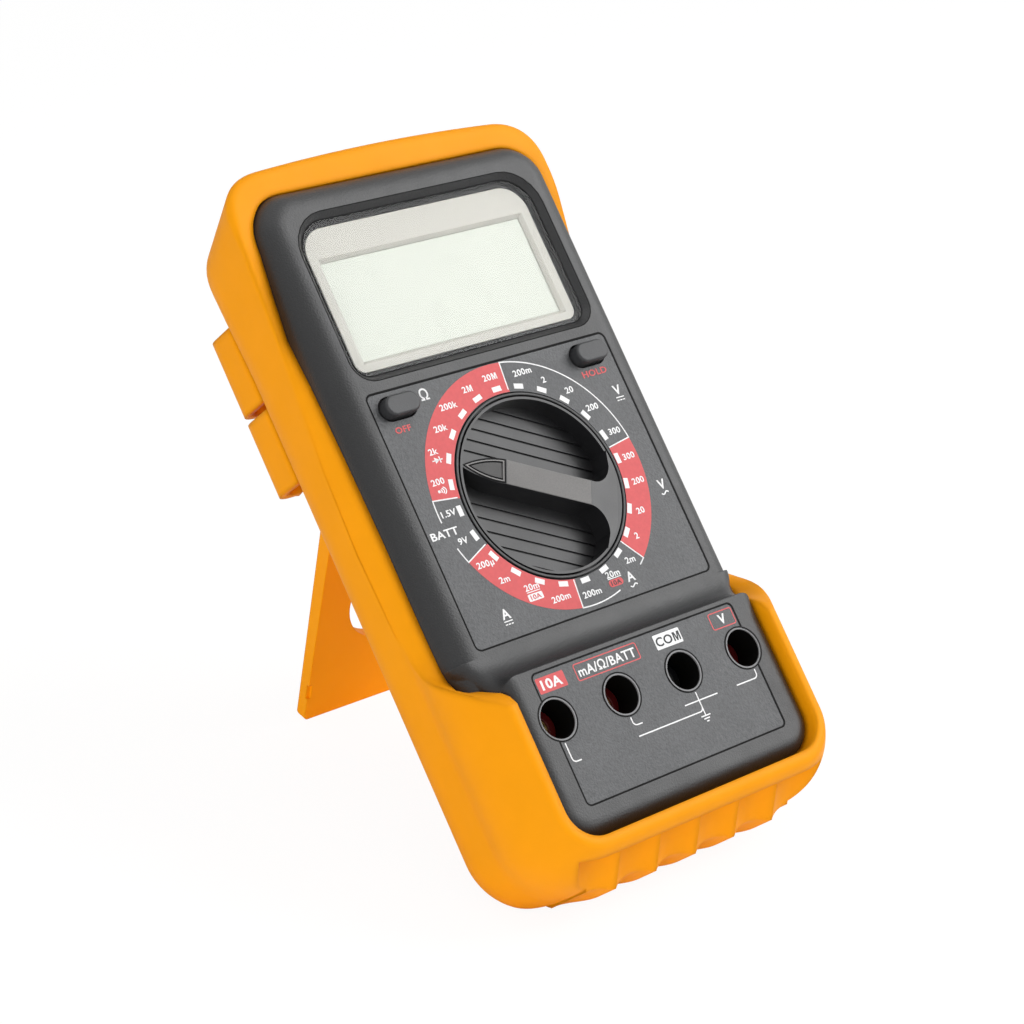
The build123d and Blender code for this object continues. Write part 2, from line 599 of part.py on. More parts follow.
def detent_places():
    """Directions of the two side bores, both in the solid crescent at the tail."""
    return [KNOB_ANGLE + 180 + side * 360 / POSITIONS for side in (1, -1)]


def make_knob():
    """Round knob: a thin-rimmed disc with two ribbed finger pockets and a raised
    grip bar, whose top slopes down to the rim at the pointer and at the tail."""
    disc = rod(0, 0, -2.6, KNOB_RIM, KNOB_R) + rod(0, 0, KNOB_BACK, -2.6, KNOB_FLANGE)
    bar = across_knob([(-20.4, KNOB_RIM), (-12.2, KNOB_BAR), (10.8, KNOB_BAR), (20.8, KNOB_RIM),
                       (20.8, -2), (-20.4, -2)])
    disc += bar & rod(0, 0, -2, 5, KNOB_REACH)
    pocket = extrude(Pos(0, 0, -10) * finger_pocket(), amount=20)
    room = pocket & across_knob([(-25, floor_height(-25)), (25, floor_height(25)), (25, 8), (-25, 8)])
    # five grooves along the floor leave flat ribs between them
    for i in range(5):
        tilt_up = -math.degrees(math.atan(KNOB_SLOPE))
        groove = Pos(0, 6.4 + 2.97 * i, KNOB_FLOOR) * Rot(0, tilt_up, 0) * Box(60, 0.6, 0.9)
        room += groove & pocket
    disc -= [room, mirror(room, about=Plane.XZ)]
    disc = Rot(0, 0, KNOB_ANGLE) * disc
    for angle in detent_places():
        disc -= Rot(0, 0, angle) * Pos(21.7, 0, -4.4) * Rot(0, 90, 0) * Cylinder(1.3, 5.0)
    return disc


def make_detents():
    """Detent balls and the springs behind them, in the knob's side bores."""
    balls = []
    springs = []
    for angle in detent_places():
        balls.append(Rot(0, 0, angle) * Pos(KNOB_FLANGE - 1.25, 0, -4.4) * Sphere(1.2))
        coil = Pos(20.25, 0, -4.4) * Rot(0, 90, 0) * (Cylinder(1.15, 1.9) - Cylinder(0.75, 3))
        springs.append(Rot(0, 0, angle) * coil)
    return balls, springs


def make_rotor():
    """Flat rotor under the knob that carries the switch contacts."""
    disc = rod(0, 0, -7.2, KNOB_BACK, 19.0) - rod(0, 0, -9, 0, 3.0)
    return Rot(0, 0, KNOB_ANGLE) * disc


def make_wipers():
    """Sprung contact bridges on the rotor, three sets around the middle."""
    wipers = []
    for i in range(3):
        for radius in (7.5, 12.0, 16.5):
            strip = Pos(radius, 0, -7.35) * Box(1.4, 5.0, 0.2)
            strip += Pos(radius, 2.2, -7.55) * Box(1.4, 0.5, 0.6)
            strip += Pos(radius, -2.2, -7.55) * Box(1.4, 0.5, 0.6)
            wipers.append(Rot(0, 0, KNOB_ANGLE + 120 * i) * strip)
    return wipers


# ---- buttons ---------------------------------------------------------------
def make_button(x):
    """Push button: stadium cap on a wider flange that stays inside the case."""
    cap = slot_plate(x, BUTTON_Y, BUTTON_LONG, BUTTON_WIDE, -2.7, BUTTON_TOP)
    cap = fillet(cap.edges().group_by(Axis.Z)[-1], 0.7)
    return cap + slot_plate(x, BUTTON_Y, BUTTON_LONG + 3, BUTTON_WIDE + 3, BUTTON_BACK, -2.6)


def make_switch(x):
    """Small push switch on the board under a button, with a well for its plunger."""
    body = box(x - 3, x + 3, BUTTON_Y - 3, BUTTON_Y + 3, BOARD_FRONT + 0.02, SWITCH_TOP)
    return body - rod(x, BUTTON_Y, SWITCH_TOP - 1.6, SWITCH_TOP + 1, PLUNGER_R + 0.05)


def make_plunger(x):
    """Plunger of the switch, pushed in by the button above it."""
    return rod(x, BUTTON_Y, SWITCH_TOP - 0.6, BUTTON_BACK, PLUNGER_R)


# ---- display ---------------------------------------------------------------
def make_lens():
    """Clear lens let into the face."""
    return lens_plate(0, LENS_TOP - LENS_THICK, LENS_TOP)


def make_mask():
    """Pale frame behind the lens around the clear window, with bevelled sides."""
    plate = lens_plate(-LEDGE - 0.2, LEDGE_BACK, LENS_TOP - LENS_THICK - 0.02)
    middle = (VIEW_LOW + VIEW_HIGH) / 2
    wide, tall = 2 * VIEW_HALF, VIEW_HIGH - VIEW_LOW
    opening = loft([Pos(0, middle, LEDGE_BACK - 0.1) * Rectangle(wide - 2, tall - 2),
                    Pos(0, middle, LENS_TOP - LENS_THICK) * Rectangle(wide, tall)])
    return plate - opening


def make_glass():
    """Two glass plates of the display, the rear one longer at the contact edge."""
    rear = box(-VIEW_HALF, VIEW_HALF, VIEW_LOW - 3, VIEW_HIGH + 1.5, -6.1, -5.1)
    front = box(-VIEW_HALF, VIEW_HALF, VIEW_LOW - 0.5, VIEW_HIGH + 1.5, -5.1, -4.1)
    return rear + front


def make_glass_holder():
    """Frame on the board that holds the display glass."""
    half, low, high = VIEW_HALF + 1.6, VIEW_LOW - 4.6, VIEW_HIGH + 3.1
    frame = box(-half, half, low, high, BOARD_FRONT + 0.02, -4.6)
    frame -= box(-VIEW_HALF - 0.1, VIEW_HALF + 0.1, VIEW_LOW - 3.1, VIEW_HIGH + 1.6, -6.1, 0)
    frame -= box(-VIEW_HALF + 2, VIEW_HALF - 2, VIEW_LOW - 2.6, VIEW_HIGH - 1, -20, 0)
    return frame


def make_zebra():
    """Rubber contact strip between the board and the display glass."""
    return box(-VIEW_HALF + 2.4, VIEW_HALF - 2.4, VIEW_LOW - 2.5, VIEW_LOW - 0.3, BOARD_FRONT + 0.02, -6.12)


# ---- circuit board and the parts on it -------------------------------------
def board_outline():
    """Board outline: follows the case, with notches for the screw bosses."""
    outline = panel(CASE_HALF - 5.2, CASE_BOTTOM + 5.2, CASE_TOP - 5.2, 5.0, BOARD_BACK, BOARD_FRONT)
    for x, y in CASE_SCREWS:
        outline -= rod(x, y, -20, 0, 3.6)
    return outline


def make_board():
    """Main board with socket holes, screw holes and the switch's contact rings."""
    board = board_outline()
    for x in JACK_XS:
        board -= rod(x, JACK_ROW, -20, 0, SLEEVE_OUT + 0.1)
    for x, y in BOARD_SCREWS:
        board -= rod(x, y, -20, 0, 1.2)
    return board


# ---- sockets, fuses, battery and small components --------------------------
def make_socket_insert(x):
    """Coloured plastic collar around a socket, at the bottom of its well."""
    return rod(x, JACK_ROW, BOARD_FRONT + 0.02, JACK_SEAT, JACK_WELL - 0.08) \
        - rod(x, JACK_ROW, -20, 10, SLEEVE_OUT + 0.05)


def make_sleeve(x):
    """Brass tube that takes the plug, soldered through the board."""
    tube = rod(x, JACK_ROW, SLEEVE_END, JACK_SEAT - 0.4, SLEEVE_OUT)
    tube -= rod(x, JACK_ROW, SLEEVE_END + 1.2, 5, SLEEVE_BORE)
    return tube


def make_fuse(y, length, radius):
    """Cartridge fuse: glass tube between two metal caps."""
    z = BOARD_BACK - 1.0 - radius
    tube = cross_rod(-length / 2, length / 2, y, z, radius - 0.25)
    caps = cross_rod(-length / 2 - 0.1, -length / 2 + 5.5, y, z, radius) \
        + cross_rod(length / 2 - 5.5, length / 2 + 0.1, y, z, radius)
    return tube + caps


def make_fuse_clips():
    """Spring clips that hold the two fuses, one clip per fuse end."""
    clips = []
    for y, length, radius in FUSES:
        z = BOARD_BACK - 1.0 - radius
        for side in (1, -1):
            x = side * (length / 2 - 2.8)
            ring = cross_rod(x - 2, x + 2, y, z, radius + 0.45) - cross_rod(x - 3, x + 3, y, z, radius + 0.04)
            ring -= box(x - 3, x + 3, y - 2 * radius, y + 2 * radius, z - 2 * radius, z - radius * 0.55)
            clips.append(ring + box(x - 2, x + 2, y - 1.6, y + 1.6, z + radius + 0.1, BOARD_BACK - 0.02))
    return clips


def make_battery():
    """Nine volt block battery lying across the meter, with its two studs."""
    z0 = BATTERY_BACK
    body = box(-BATTERY_HALF, BATTERY_HALF - 2.6, BATTERY_Y - BATTERY_HALF_WIDE,
               BATTERY_Y + BATTERY_HALF_WIDE, z0, z0 + BATTERY_TALL)
    body = fillet(body.edges().filter_by(Axis.X), 2.0)
    for offset, radius in STUD_SIZES:
        body += cross_rod(BATTERY_HALF - 2.7, BATTERY_HALF - 0.4, BATTERY_Y + offset,
                          z0 + BATTERY_TALL / 2, radius)
    return body


def make_battery_snap():
    """Snap plate with two cups that grip the battery studs."""
    z = BATTERY_BACK + BATTERY_TALL / 2
    x0 = BATTERY_HALF - 2.5
    plate = box(x0, x0 + 2.9, BATTERY_Y - 12.6, BATTERY_Y + 12.6, z - 5.6, z + 5.6)
    for offset, radius in STUD_SIZES:
        plate -= cross_rod(x0 - 1, x0 + 2.2, BATTERY_Y + offset, z, radius + 0.03)
    return plate


def make_buzzer():
    """Round sounder on the back of the board, with its sound hole."""
    disc = rod(-20.0, 52.0, BOARD_BACK - 6.5, BOARD_BACK - 0.02, 6.0)
    return disc - rod(-20.0, 52.0, BOARD_BACK - 8, BOARD_BACK - 5, 1.1)


def make_chip():
    """Measuring chip on the back of the board with its rows of leads."""
    x, y, half = 16.0, 52.0, 7.0
    body = box(x - half, x + half, y - half, y + half, BOARD_BACK - 2.2, BOARD_BACK - 0.3)
    for side in (1, -1):
        for i in range(8):
            offset = (i - 3.5) * 1.6
            body += box(x + side * half - 0.9, x + side * half + 0.9, y + offset - 0.3, y + offset + 0.3,
                        BOARD_BACK - 0.9, BOARD_BACK - 0.02)
    return body


def make_capacitors():
    """Upright electrolytic and film capacitors on the back of the board."""
    cans = [rod(x, y, BOARD_BACK - tall, BOARD_BACK - 0.02, r)
            for x, y, r, tall in ((-4.0, 58.0, 3.2, 8.0), (-4.0, 49.0, 2.5, 6.5), (31.0, 62.0, 2.5, 6.5))]
    cans += [box(x - 5, x + 5, y - 2, y + 2, BOARD_BACK - 7.0, BOARD_BACK - 0.02)
             for x, y in ((-20.0, 68.0), (8.0, 68.0))]
    return cans


def make_protectors():
    """Disc-shaped overload protectors standing beside the sockets."""
    return [Pos(x, -33.0, BOARD_BACK - 4.6) * Rot(90, 0, 0) * Cylinder(4.5, 2.6) for x in (-6.0, 6.0)]


def make_shunt():
    """Thick bent wire that carries the high current range."""
    y = JACK_ROW + 9.0
    x0, x1 = JACK_XS[0] - 2.0, JACK_XS[0] + 12.0
    top, low = BOARD_BACK - 0.02, BOARD_BACK - 4.5
    return cord([(x0, y, top), (x0, y, low), (x1, y, low), (x1, y, top)], 0.8)


def make_battery_lead(offset):
    """One of the two insulated leads from the battery snap to the board: straight
    runs joined by tangent arcs, each as large as its two runs allow."""
    x0 = BATTERY_HALF + 0.42
    z0 = BATTERY_BACK + BATTERY_TALL / 2
    y0 = BATTERY_Y + offset
    points = [(x0, y0, z0), (x0 + 3.8, y0, z0), (x0 + 7.0, y0 + 0.4 * offset, z0 + 3.0),
              (x0 + 8.0, y0 + 0.8 * offset, z0 + 6.6), (x0 + 8.0, y0 + offset, BOARD_BACK - 0.15)]
    return cord(points, LEAD_R)


def make_dial_panel():
    """Printed sheet around the dial, let into the face."""
    half, low, high = DIAL_LABEL
    under = -LABEL_SINK + 0.02
    sheet = panel(half - 0.15, low + 0.15, high - 0.15, 1.5, under, under + LABEL_THICK)
    sheet -= rod(0, 0, -2, 2, SHEET_HOLE)
    for side in (1, -1):
        sheet -= slot_plate(side * BUTTON_X, BUTTON_Y, BUTTON_LONG + 1.0, BUTTON_WIDE + 1.0, -2, 1)
    return sheet


def make_socket_panel():
    """Printed sheet around the four sockets."""
    half, low, high = JACK_LABEL
    z = JACK_FACE - LABEL_SINK + 0.02
    sheet = panel(half - 0.15, low + 0.15, high - 0.15, 1.3, z, z + LABEL_THICK)
    for x in JACK_XS:
        sheet -= rod(x, JACK_ROW, 0, 20, JACK_WELL + 0.1)
    return sheet


# ---- build everything ------------------------------------------------------
parts = {}
outer = case_outer()
hollow = case_hollow()
parts["boot"] = make_boot()
parts["probe_clips_right"], parts["probe_clips_left"] = make_probe_clips(parts["boot"])
parts["stand"] = make_stand()
parts["front_case"] = make_front_case(outer, hollow)
parts["rear_case"] = make_rear_case(outer, hollow)
parts["battery_cover"] = make_battery_cover()
parts["battery_cover_screw"] = screw(0, COVER_SCREW_Y, CASE_BACK - 0.0, 6.4, 1.5, 1.0)
parts["case_screws"] = [screw(x, y, CASE_BACK + 5.2, 16.0, 2.6, 1.05) for x, y in CASE_SCREWS]
parts["board_screws"] = [screw(x, y, BOARD_BACK - 1.8, 6.2, 2.2, 1.0) for x, y in BOARD_SCREWS]
parts["knob"] = make_knob()
parts["switch_rotor"] = make_rotor()
parts["switch_wipers"] = make_wipers()
parts["detent_balls"], parts["detent_springs"] = make_detents()
parts["power_button"] = make_button(-BUTTON_X)
parts["hold_button"] = make_button(BUTTON_X)
parts["power_switch"] = make_switch(-BUTTON_X)
parts["hold_switch"] = make_switch(BUTTON_X)
parts["power_plunger"] = make_plunger(-BUTTON_X)
parts["hold_plunger"] = make_plunger(BUTTON_X)
parts["display_lens"] = make_lens()
parts["display_mask"] = make_mask()
parts["display_glass"] = make_glass()
parts["display_holder"] = make_glass_holder()
parts["display_contact_strip"] = make_zebra()
parts["main_board"] = make_board()
parts["dial_panel"] = make_dial_panel()
parts["socket_panel"] = make_socket_panel()
for x, name in zip(JACK_XS, JACK_NAMES):
    parts[f"socket_collar_{name}"] = make_socket_insert(x)
    parts[f"socket_sleeve_{name}"] = make_sleeve(x)
parts["fuse_ma"] = make_fuse(*FUSES[0])
parts["fuse_10a"] = make_fuse(*FUSES[1])
parts["fuse_clips"] = make_fuse_clips()
parts["battery"] = make_battery()
parts["battery_snap"] = make_battery_snap()
parts["battery_lead_red"] = make_battery_lead(3.0)
parts["battery_lead_black"] = make_battery_lead(-3.0)
parts["buzzer"] = make_buzzer()
parts["measuring_chip"] = make_chip()
parts["capacitors"] = make_capacitors()
parts["overload_protectors"] = make_protectors()
parts["current_shunt"] = make_shunt()

# ---- lean back and stand on the ground -------------------------------------
# The meter rests on the rounded lower back edge of the boot and on the foot of
# the stand.  Both touch the ground when their lowest points are level.
swing = math.radians(STAND_OPEN)
boot_edge = (BOOT_BOTTOM + BOOT_HEEL, BOOT_BACK + BOOT_HEEL)
foot = (HINGE_Y - STAND_LEN * math.cos(swing), HINGE_Z - STAND_LEN * math.sin(swing))
span = (foot[0] - boot_edge[0], foot[1] - boot_edge[1])
reach = math.hypot(*span)
LEAN = math.atan2(span[1], span[0]) + math.acos(-BOOT_HEEL / reach)
tilt = Rot(90 - math.degrees(LEAN), 0, 0)
print("LEAN", math.degrees(LEAN))

placed = {}
for name, shape in parts.items():
    solids = shape if isinstance(shape, list) else list(shape.solids())
    placed[name] = [tilt * solid for solid in solids]
boxes = [solid.bounding_box() for solids in placed.values() for solid in solids]
low = [min(getattr(b.min, axis) for b in boxes) for axis in "XYZ"]
high = [max(getattr(b.max, axis) for b in boxes) for axis in "XYZ"]
shift = Pos(-(low[0] + high[0]) / 2, -(low[1] + high[1]) / 2, -low[2])
print("SHIFT", -(low[0] + high[0]) / 2, -(low[1] + high[1]) / 2, -low[2])

for name, solids in placed.items():
    moved = [shift * solid for solid in solids]
    ok = all(x.is_valid for x in moved)
    print(name, len(moved), ok, round(sum(x.volume for x in moved), 1))
    export_step(Compound(children=moved) if len(moved) > 1 else moved[0], f"parts/{name}.step")
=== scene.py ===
"""Looks for a handheld digital multimeter in its rubber boot, leaning on the tilt stand."""

import json
import math

import bpy
import numpy as np
from bpy.props import FloatProperty, FloatVectorProperty, PointerProperty
from mathutils import Matrix, Vector


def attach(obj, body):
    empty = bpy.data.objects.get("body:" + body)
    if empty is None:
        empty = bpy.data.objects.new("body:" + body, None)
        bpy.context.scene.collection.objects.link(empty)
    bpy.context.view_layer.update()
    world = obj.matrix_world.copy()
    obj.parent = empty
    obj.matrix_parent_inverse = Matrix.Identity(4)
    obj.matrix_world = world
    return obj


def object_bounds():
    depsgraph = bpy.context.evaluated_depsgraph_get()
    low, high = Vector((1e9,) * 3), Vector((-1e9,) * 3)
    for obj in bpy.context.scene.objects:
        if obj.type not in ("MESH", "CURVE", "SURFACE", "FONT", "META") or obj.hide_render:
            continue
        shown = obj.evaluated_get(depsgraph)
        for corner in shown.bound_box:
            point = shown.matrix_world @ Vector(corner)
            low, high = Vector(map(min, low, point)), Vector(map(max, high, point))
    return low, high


bl_info = {
    "name": "Digital multimeter looks",
    "version": (1, 0, 0),
    "blender": (4, 5, 0),
    "location": "3D View > Sidebar > Meter",
    "description": "Prints, finishes, stage and camera for a digital multimeter on its stand",
    "category": "Object",
}

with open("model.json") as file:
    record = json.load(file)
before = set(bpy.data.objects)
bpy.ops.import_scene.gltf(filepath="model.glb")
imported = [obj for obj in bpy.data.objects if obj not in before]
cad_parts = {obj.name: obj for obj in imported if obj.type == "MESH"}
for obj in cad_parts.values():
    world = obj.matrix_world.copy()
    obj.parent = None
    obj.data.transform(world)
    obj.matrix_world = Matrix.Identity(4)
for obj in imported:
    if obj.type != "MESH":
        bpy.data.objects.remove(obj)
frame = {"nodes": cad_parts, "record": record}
CAD_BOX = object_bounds()
NODES = frame["nodes"]
JOINTS = {joint["name"]: joint for joint in frame["record"]["behaviour"]["joints"]}
SOCKETS = {m["name"]: m for m in frame["record"]["mounts"] if m["kind"] == "bore"}

# ---- the meter's own frame ---------------------------------------------------
# X across the face, Y up the face, Z out of it, from the middle of the dial, in
# millimetres.  The dial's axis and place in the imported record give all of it.
MM = 0.001
OUT = Vector(JOINTS["dial_turn"]["axis"])
ACROSS = Vector((1, 0, 0))
UP = OUT.cross(ACROSS)
CENTRE = Vector(JOINTS["dial_turn"]["pos_m"])
AXES = np.array([ACROSS, UP, OUT])

# Heights out of the face.  The case round the dial is at 0, the raised panel of the sockets at
# SOCKET_FACE, and each printed sheet is let in by SHEET_SINK.
SHEET_SINK = 0.08
SOCKET_FACE = 7.1
DIAL_PRINT = -SHEET_SINK
SOCKET_PRINT = SOCKET_FACE - SHEET_SINK

# The dial's print sits a little off the knob's axis, and is turned by almost a degree.
PRINT_MIDDLE = np.array([-0.27, 0.23])
PRINT_TURN = 0.9


def place(points):
    """Points of the meter's own frame, in millimetres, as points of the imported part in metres."""
    return np.asarray(points, float) @ AXES * MM + np.array(CENTRE)


def inside(point):
    """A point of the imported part, in metres, as a point of the meter's own frame in millimetres."""
    return AXES @ (np.array(point) - np.array(CENTRE)) / MM


# ---- surfaces ----------------------------------------------------------------
def join(shapes):
    """Several (points, faces) shapes as one, with the faces renumbered."""
    points, faces, base = [], [], 0
    for some_points, some_faces in shapes:
        points.append(np.asarray(some_points, float).reshape(-1, 3))
        faces += [tuple(base + i for i in face) for face in some_faces]
        base += len(points[-1])
    return np.concatenate(points), faces


def carried(path, sides, profile, closed=False):
    """A profile carried along a path.  At each point p of the path, with side direction s and
    height direction Z, the profile's (u, v) lands on p + u*s + v*Z.  Open ends get a cap."""
    path, sides, profile = (np.asarray(a, float) for a in (path, sides, profile))
    rings = path[:, None, :] + profile[None, :, :1] * sides[:, None, :]
    rings[..., 2] += profile[None, :, 1]
    n, m = rings.shape[:2]
    a, b = np.meshgrid(np.arange(n if closed else n - 1), np.arange(m), indexing="ij")
    nxt, side = (a + 1) % n, (b + 1) % m
    quads = np.stack([a * m + b, nxt * m + b, nxt * m + side, a * m + side], -1).reshape(-1, 4)
    faces = [tuple(q) for q in quads.tolist()]
    if not closed:
        faces.append(tuple(range(m)))
        faces.append(tuple(range((n - 1) * m, n * m))[::-1])
    return rings.reshape(-1, 3), faces


def bar_profile(width, low, high):
    """Rectangle across a path: u over the width, v from low to high."""
    half = width / 2
    return [(-half, low), (-half, high), (half, high), (half, low)]


def arc(radius, start, end, middle=(0, 0)):
    """Points of an arc: middle + radius*(cos a, sin a), for a from start to end in degrees, with
    a point for about every two of them."""
    count = max(3, int(abs(end - start) / 2) + 1)
    angle = np.radians(np.linspace(start, end, count))
    return np.stack([middle[0] + radius * np.cos(angle), middle[1] + radius * np.sin(angle)], -1)


def between(inner, outer, low, high, closed=False):
    """The flat strip between two lines of equally many points: carried along their middle line,
    with the difference of the two as the side direction."""
    inner, outer = (np.c_[line, np.zeros(len(line))] for line in (inner, outer))
    return carried((inner + outer) / 2, outer - inner, bar_profile(1.0, low, high), closed)


def ring_outline(x, y, radius, count=20):
    """Points of a full circle: (x, y) + radius*(cos a, sin a), for count equal steps of a."""
    angle = np.arange(count) * 2 * math.pi / count
    return np.stack([x + radius * np.cos(angle), y + radius * np.sin(angle)], -1)


def washer(middle, r_in, r_out, low, high, count=72):
    """A flat ring: two full circles round one middle, and the strip between them."""
    inner = ring_outline(*middle, r_in, count)
    outer = ring_outline(*middle, r_out, count)
    return between(inner, outer, low, high, closed=True)


def stroke(points, width, low, high, closed=False):
    """A flat line of even width along a polyline: at each point the side direction is the
    bisector's normal, lengthened by 1/cos of half the turn so that the width stays even."""
    p = np.asarray(points, float)
    if closed:
        before, after = p - np.roll(p, 1, 0), np.roll(p, -1, 0) - p
    else:
        steps = np.diff(p, axis=0)
        before = np.concatenate([steps[:1], steps])
        after = np.concatenate([steps, steps[-1:]])
    before = before / np.linalg.norm(before, axis=1, keepdims=True)
    after = after / np.linalg.norm(after, axis=1, keepdims=True)
    middle = before + after
    middle /= np.linalg.norm(middle, axis=1, keepdims=True)
    reach = 1 / np.sum(middle * after, axis=1)
    side = np.stack([middle[:, 1], -middle[:, 0]], -1) * reach[:, None]
    path = np.c_[p, np.zeros(len(p))]
    return carried(path, np.c_[side, np.zeros(len(p))], bar_profile(width, low, high), closed)


def rounded_corners(x0, x1, y0, y1, lower, upper=None, steps=6):
    """Outline of a rectangle with round corners, anticlockwise from the upper right one: four
    quarter circles of the upper and lower radius round the corner centres, joined by straight
    sides."""
    upper = lower if upper is None else upper
    quarter = np.linspace(0, math.pi / 2, steps + 1)
    corners = ((x1, y1, -1, -1, upper), (x0, y1, 1, -1, upper),
               (x0, y0, 1, 1, lower), (x1, y0, -1, 1, lower))
    out = []
    for turn, (x, y, to_x, to_y, radius) in enumerate(corners):
        angle = quarter + turn * math.pi / 2
        middle = (x + to_x * radius, y + to_y * radius)
        out.append(np.stack([middle[0] + radius * np.cos(angle), middle[1] + radius * np.sin(angle)], -1))
    return np.concatenate(out)


def slab(outline, low, high):
    """A flat outline lifted to a thin closed slab between two heights."""
    outline = np.asarray(outline, float)
    n = len(outline)
    points = np.concatenate([np.c_[outline, np.full(n, low)], np.c_[outline, np.full(n, high)]])
    sides = [(i, (i + 1) % n, n + (i + 1) % n, n + i) for i in range(n)]
    return points, [tuple(range(n))[::-1], tuple(range(n, 2 * n)), *sides]


# The font at size 1 has capitals of this height, and its letters are set a little apart.
CAPITAL_HEIGHT = 0.73
LETTER_SPACING = 1.06

# A capital M in a square of side 1, whose strokes stay apart where the font's own would close
# up.  Its width and its gap from the letter before it are parts of its height.
LETTER_M = np.array([(0.2, 0), (0.2, 0.76), (0.42, 0), (0.58, 0), (0.8, 0.76), (0.8, 0), (1, 0),
                     (1, 1), (0.69, 1), (0.5, 0.35), (0.31, 1), (0, 1), (0, 0)])
LETTER_M_WIDTH = 0.95
LETTER_M_GAP = 0.18


def words(text, centre, height, low, high, stretch=1.1, bold=0.02):
    """Lettering as a closed mesh: the font's outlines scaled to a capital height, made wider by
    the stretch, centred on a point, with the back at height low and the front at height high."""
    curve = bpy.data.curves.new("lettering", "FONT")
    curve.body = text
    curve.align_x = "CENTER"
    curve.align_y = "CENTER"
    curve.size = 1.0
    curve.space_character = LETTER_SPACING
    curve.offset = bold
    curve.extrude = 0.5
    curve.resolution_u = 3
    holder = bpy.data.objects.new("lettering", curve)
    bpy.context.scene.collection.objects.link(holder)
    mesh = bpy.data.meshes.new_from_object(holder)
    points = np.empty(len(mesh.vertices) * 3)
    mesh.vertices.foreach_get("co", points)
    points = points.reshape(-1, 3)
    faces = [tuple(p.vertices) for p in mesh.polygons]
    bpy.data.objects.remove(holder)
    bpy.data.meshes.remove(mesh)
    bpy.data.curves.remove(curve)
    scale = height / CAPITAL_HEIGHT
    middle = (points.min(0) + points.max(0)) / 2
    across = (points[:, 0] - middle[0]) * scale * stretch + centre[0]
    up = (points[:, 1] - middle[1]) * scale + centre[1]
    lift = np.where(points[:, 2] > 0, high, low)
    return np.stack([across, up, lift], -1), faces


def words_and_m(text, centre, height, low, high, stretch=1.1):
    """Lettering that ends in an M: the font's for all but the last letter, then the square M,
    both set so that the whole is centred on the point."""
    points, faces = words(text[:-1], centre, height, low, high, stretch)
    wide = height * LETTER_M_WIDTH
    gap = height * LETTER_M_GAP
    reach = np.ptp(points[:, 0]) + gap
    points[:, 0] -= (wide + gap) / 2
    corner = (centre[0] + reach / 2 - wide / 2, centre[1] - height / 2)
    return join([(points, faces), slab(LETTER_M * (wide, height) + corner, low, high)])


def add_piece(name, shape, material, body="meter"):
    """A piece from (points, faces) in the meter's own frame, riding on a CAD body."""
    points, faces = shape
    mesh = bpy.data.meshes.new(name)
    mesh.from_pydata(place(points).tolist(), [], faces)
    mesh.validate()
    mesh.materials.append(material)
    piece = bpy.data.objects.new(name, mesh)
    bpy.context.scene.collection.objects.link(piece)
    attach(piece, body)


# ---- finishes ----------------------------------------------------------------
# Noise keeps mostly between these two values, which are stretched to the range of a finish.
NOISE_LOW = 0.3
NOISE_HIGH = 0.7


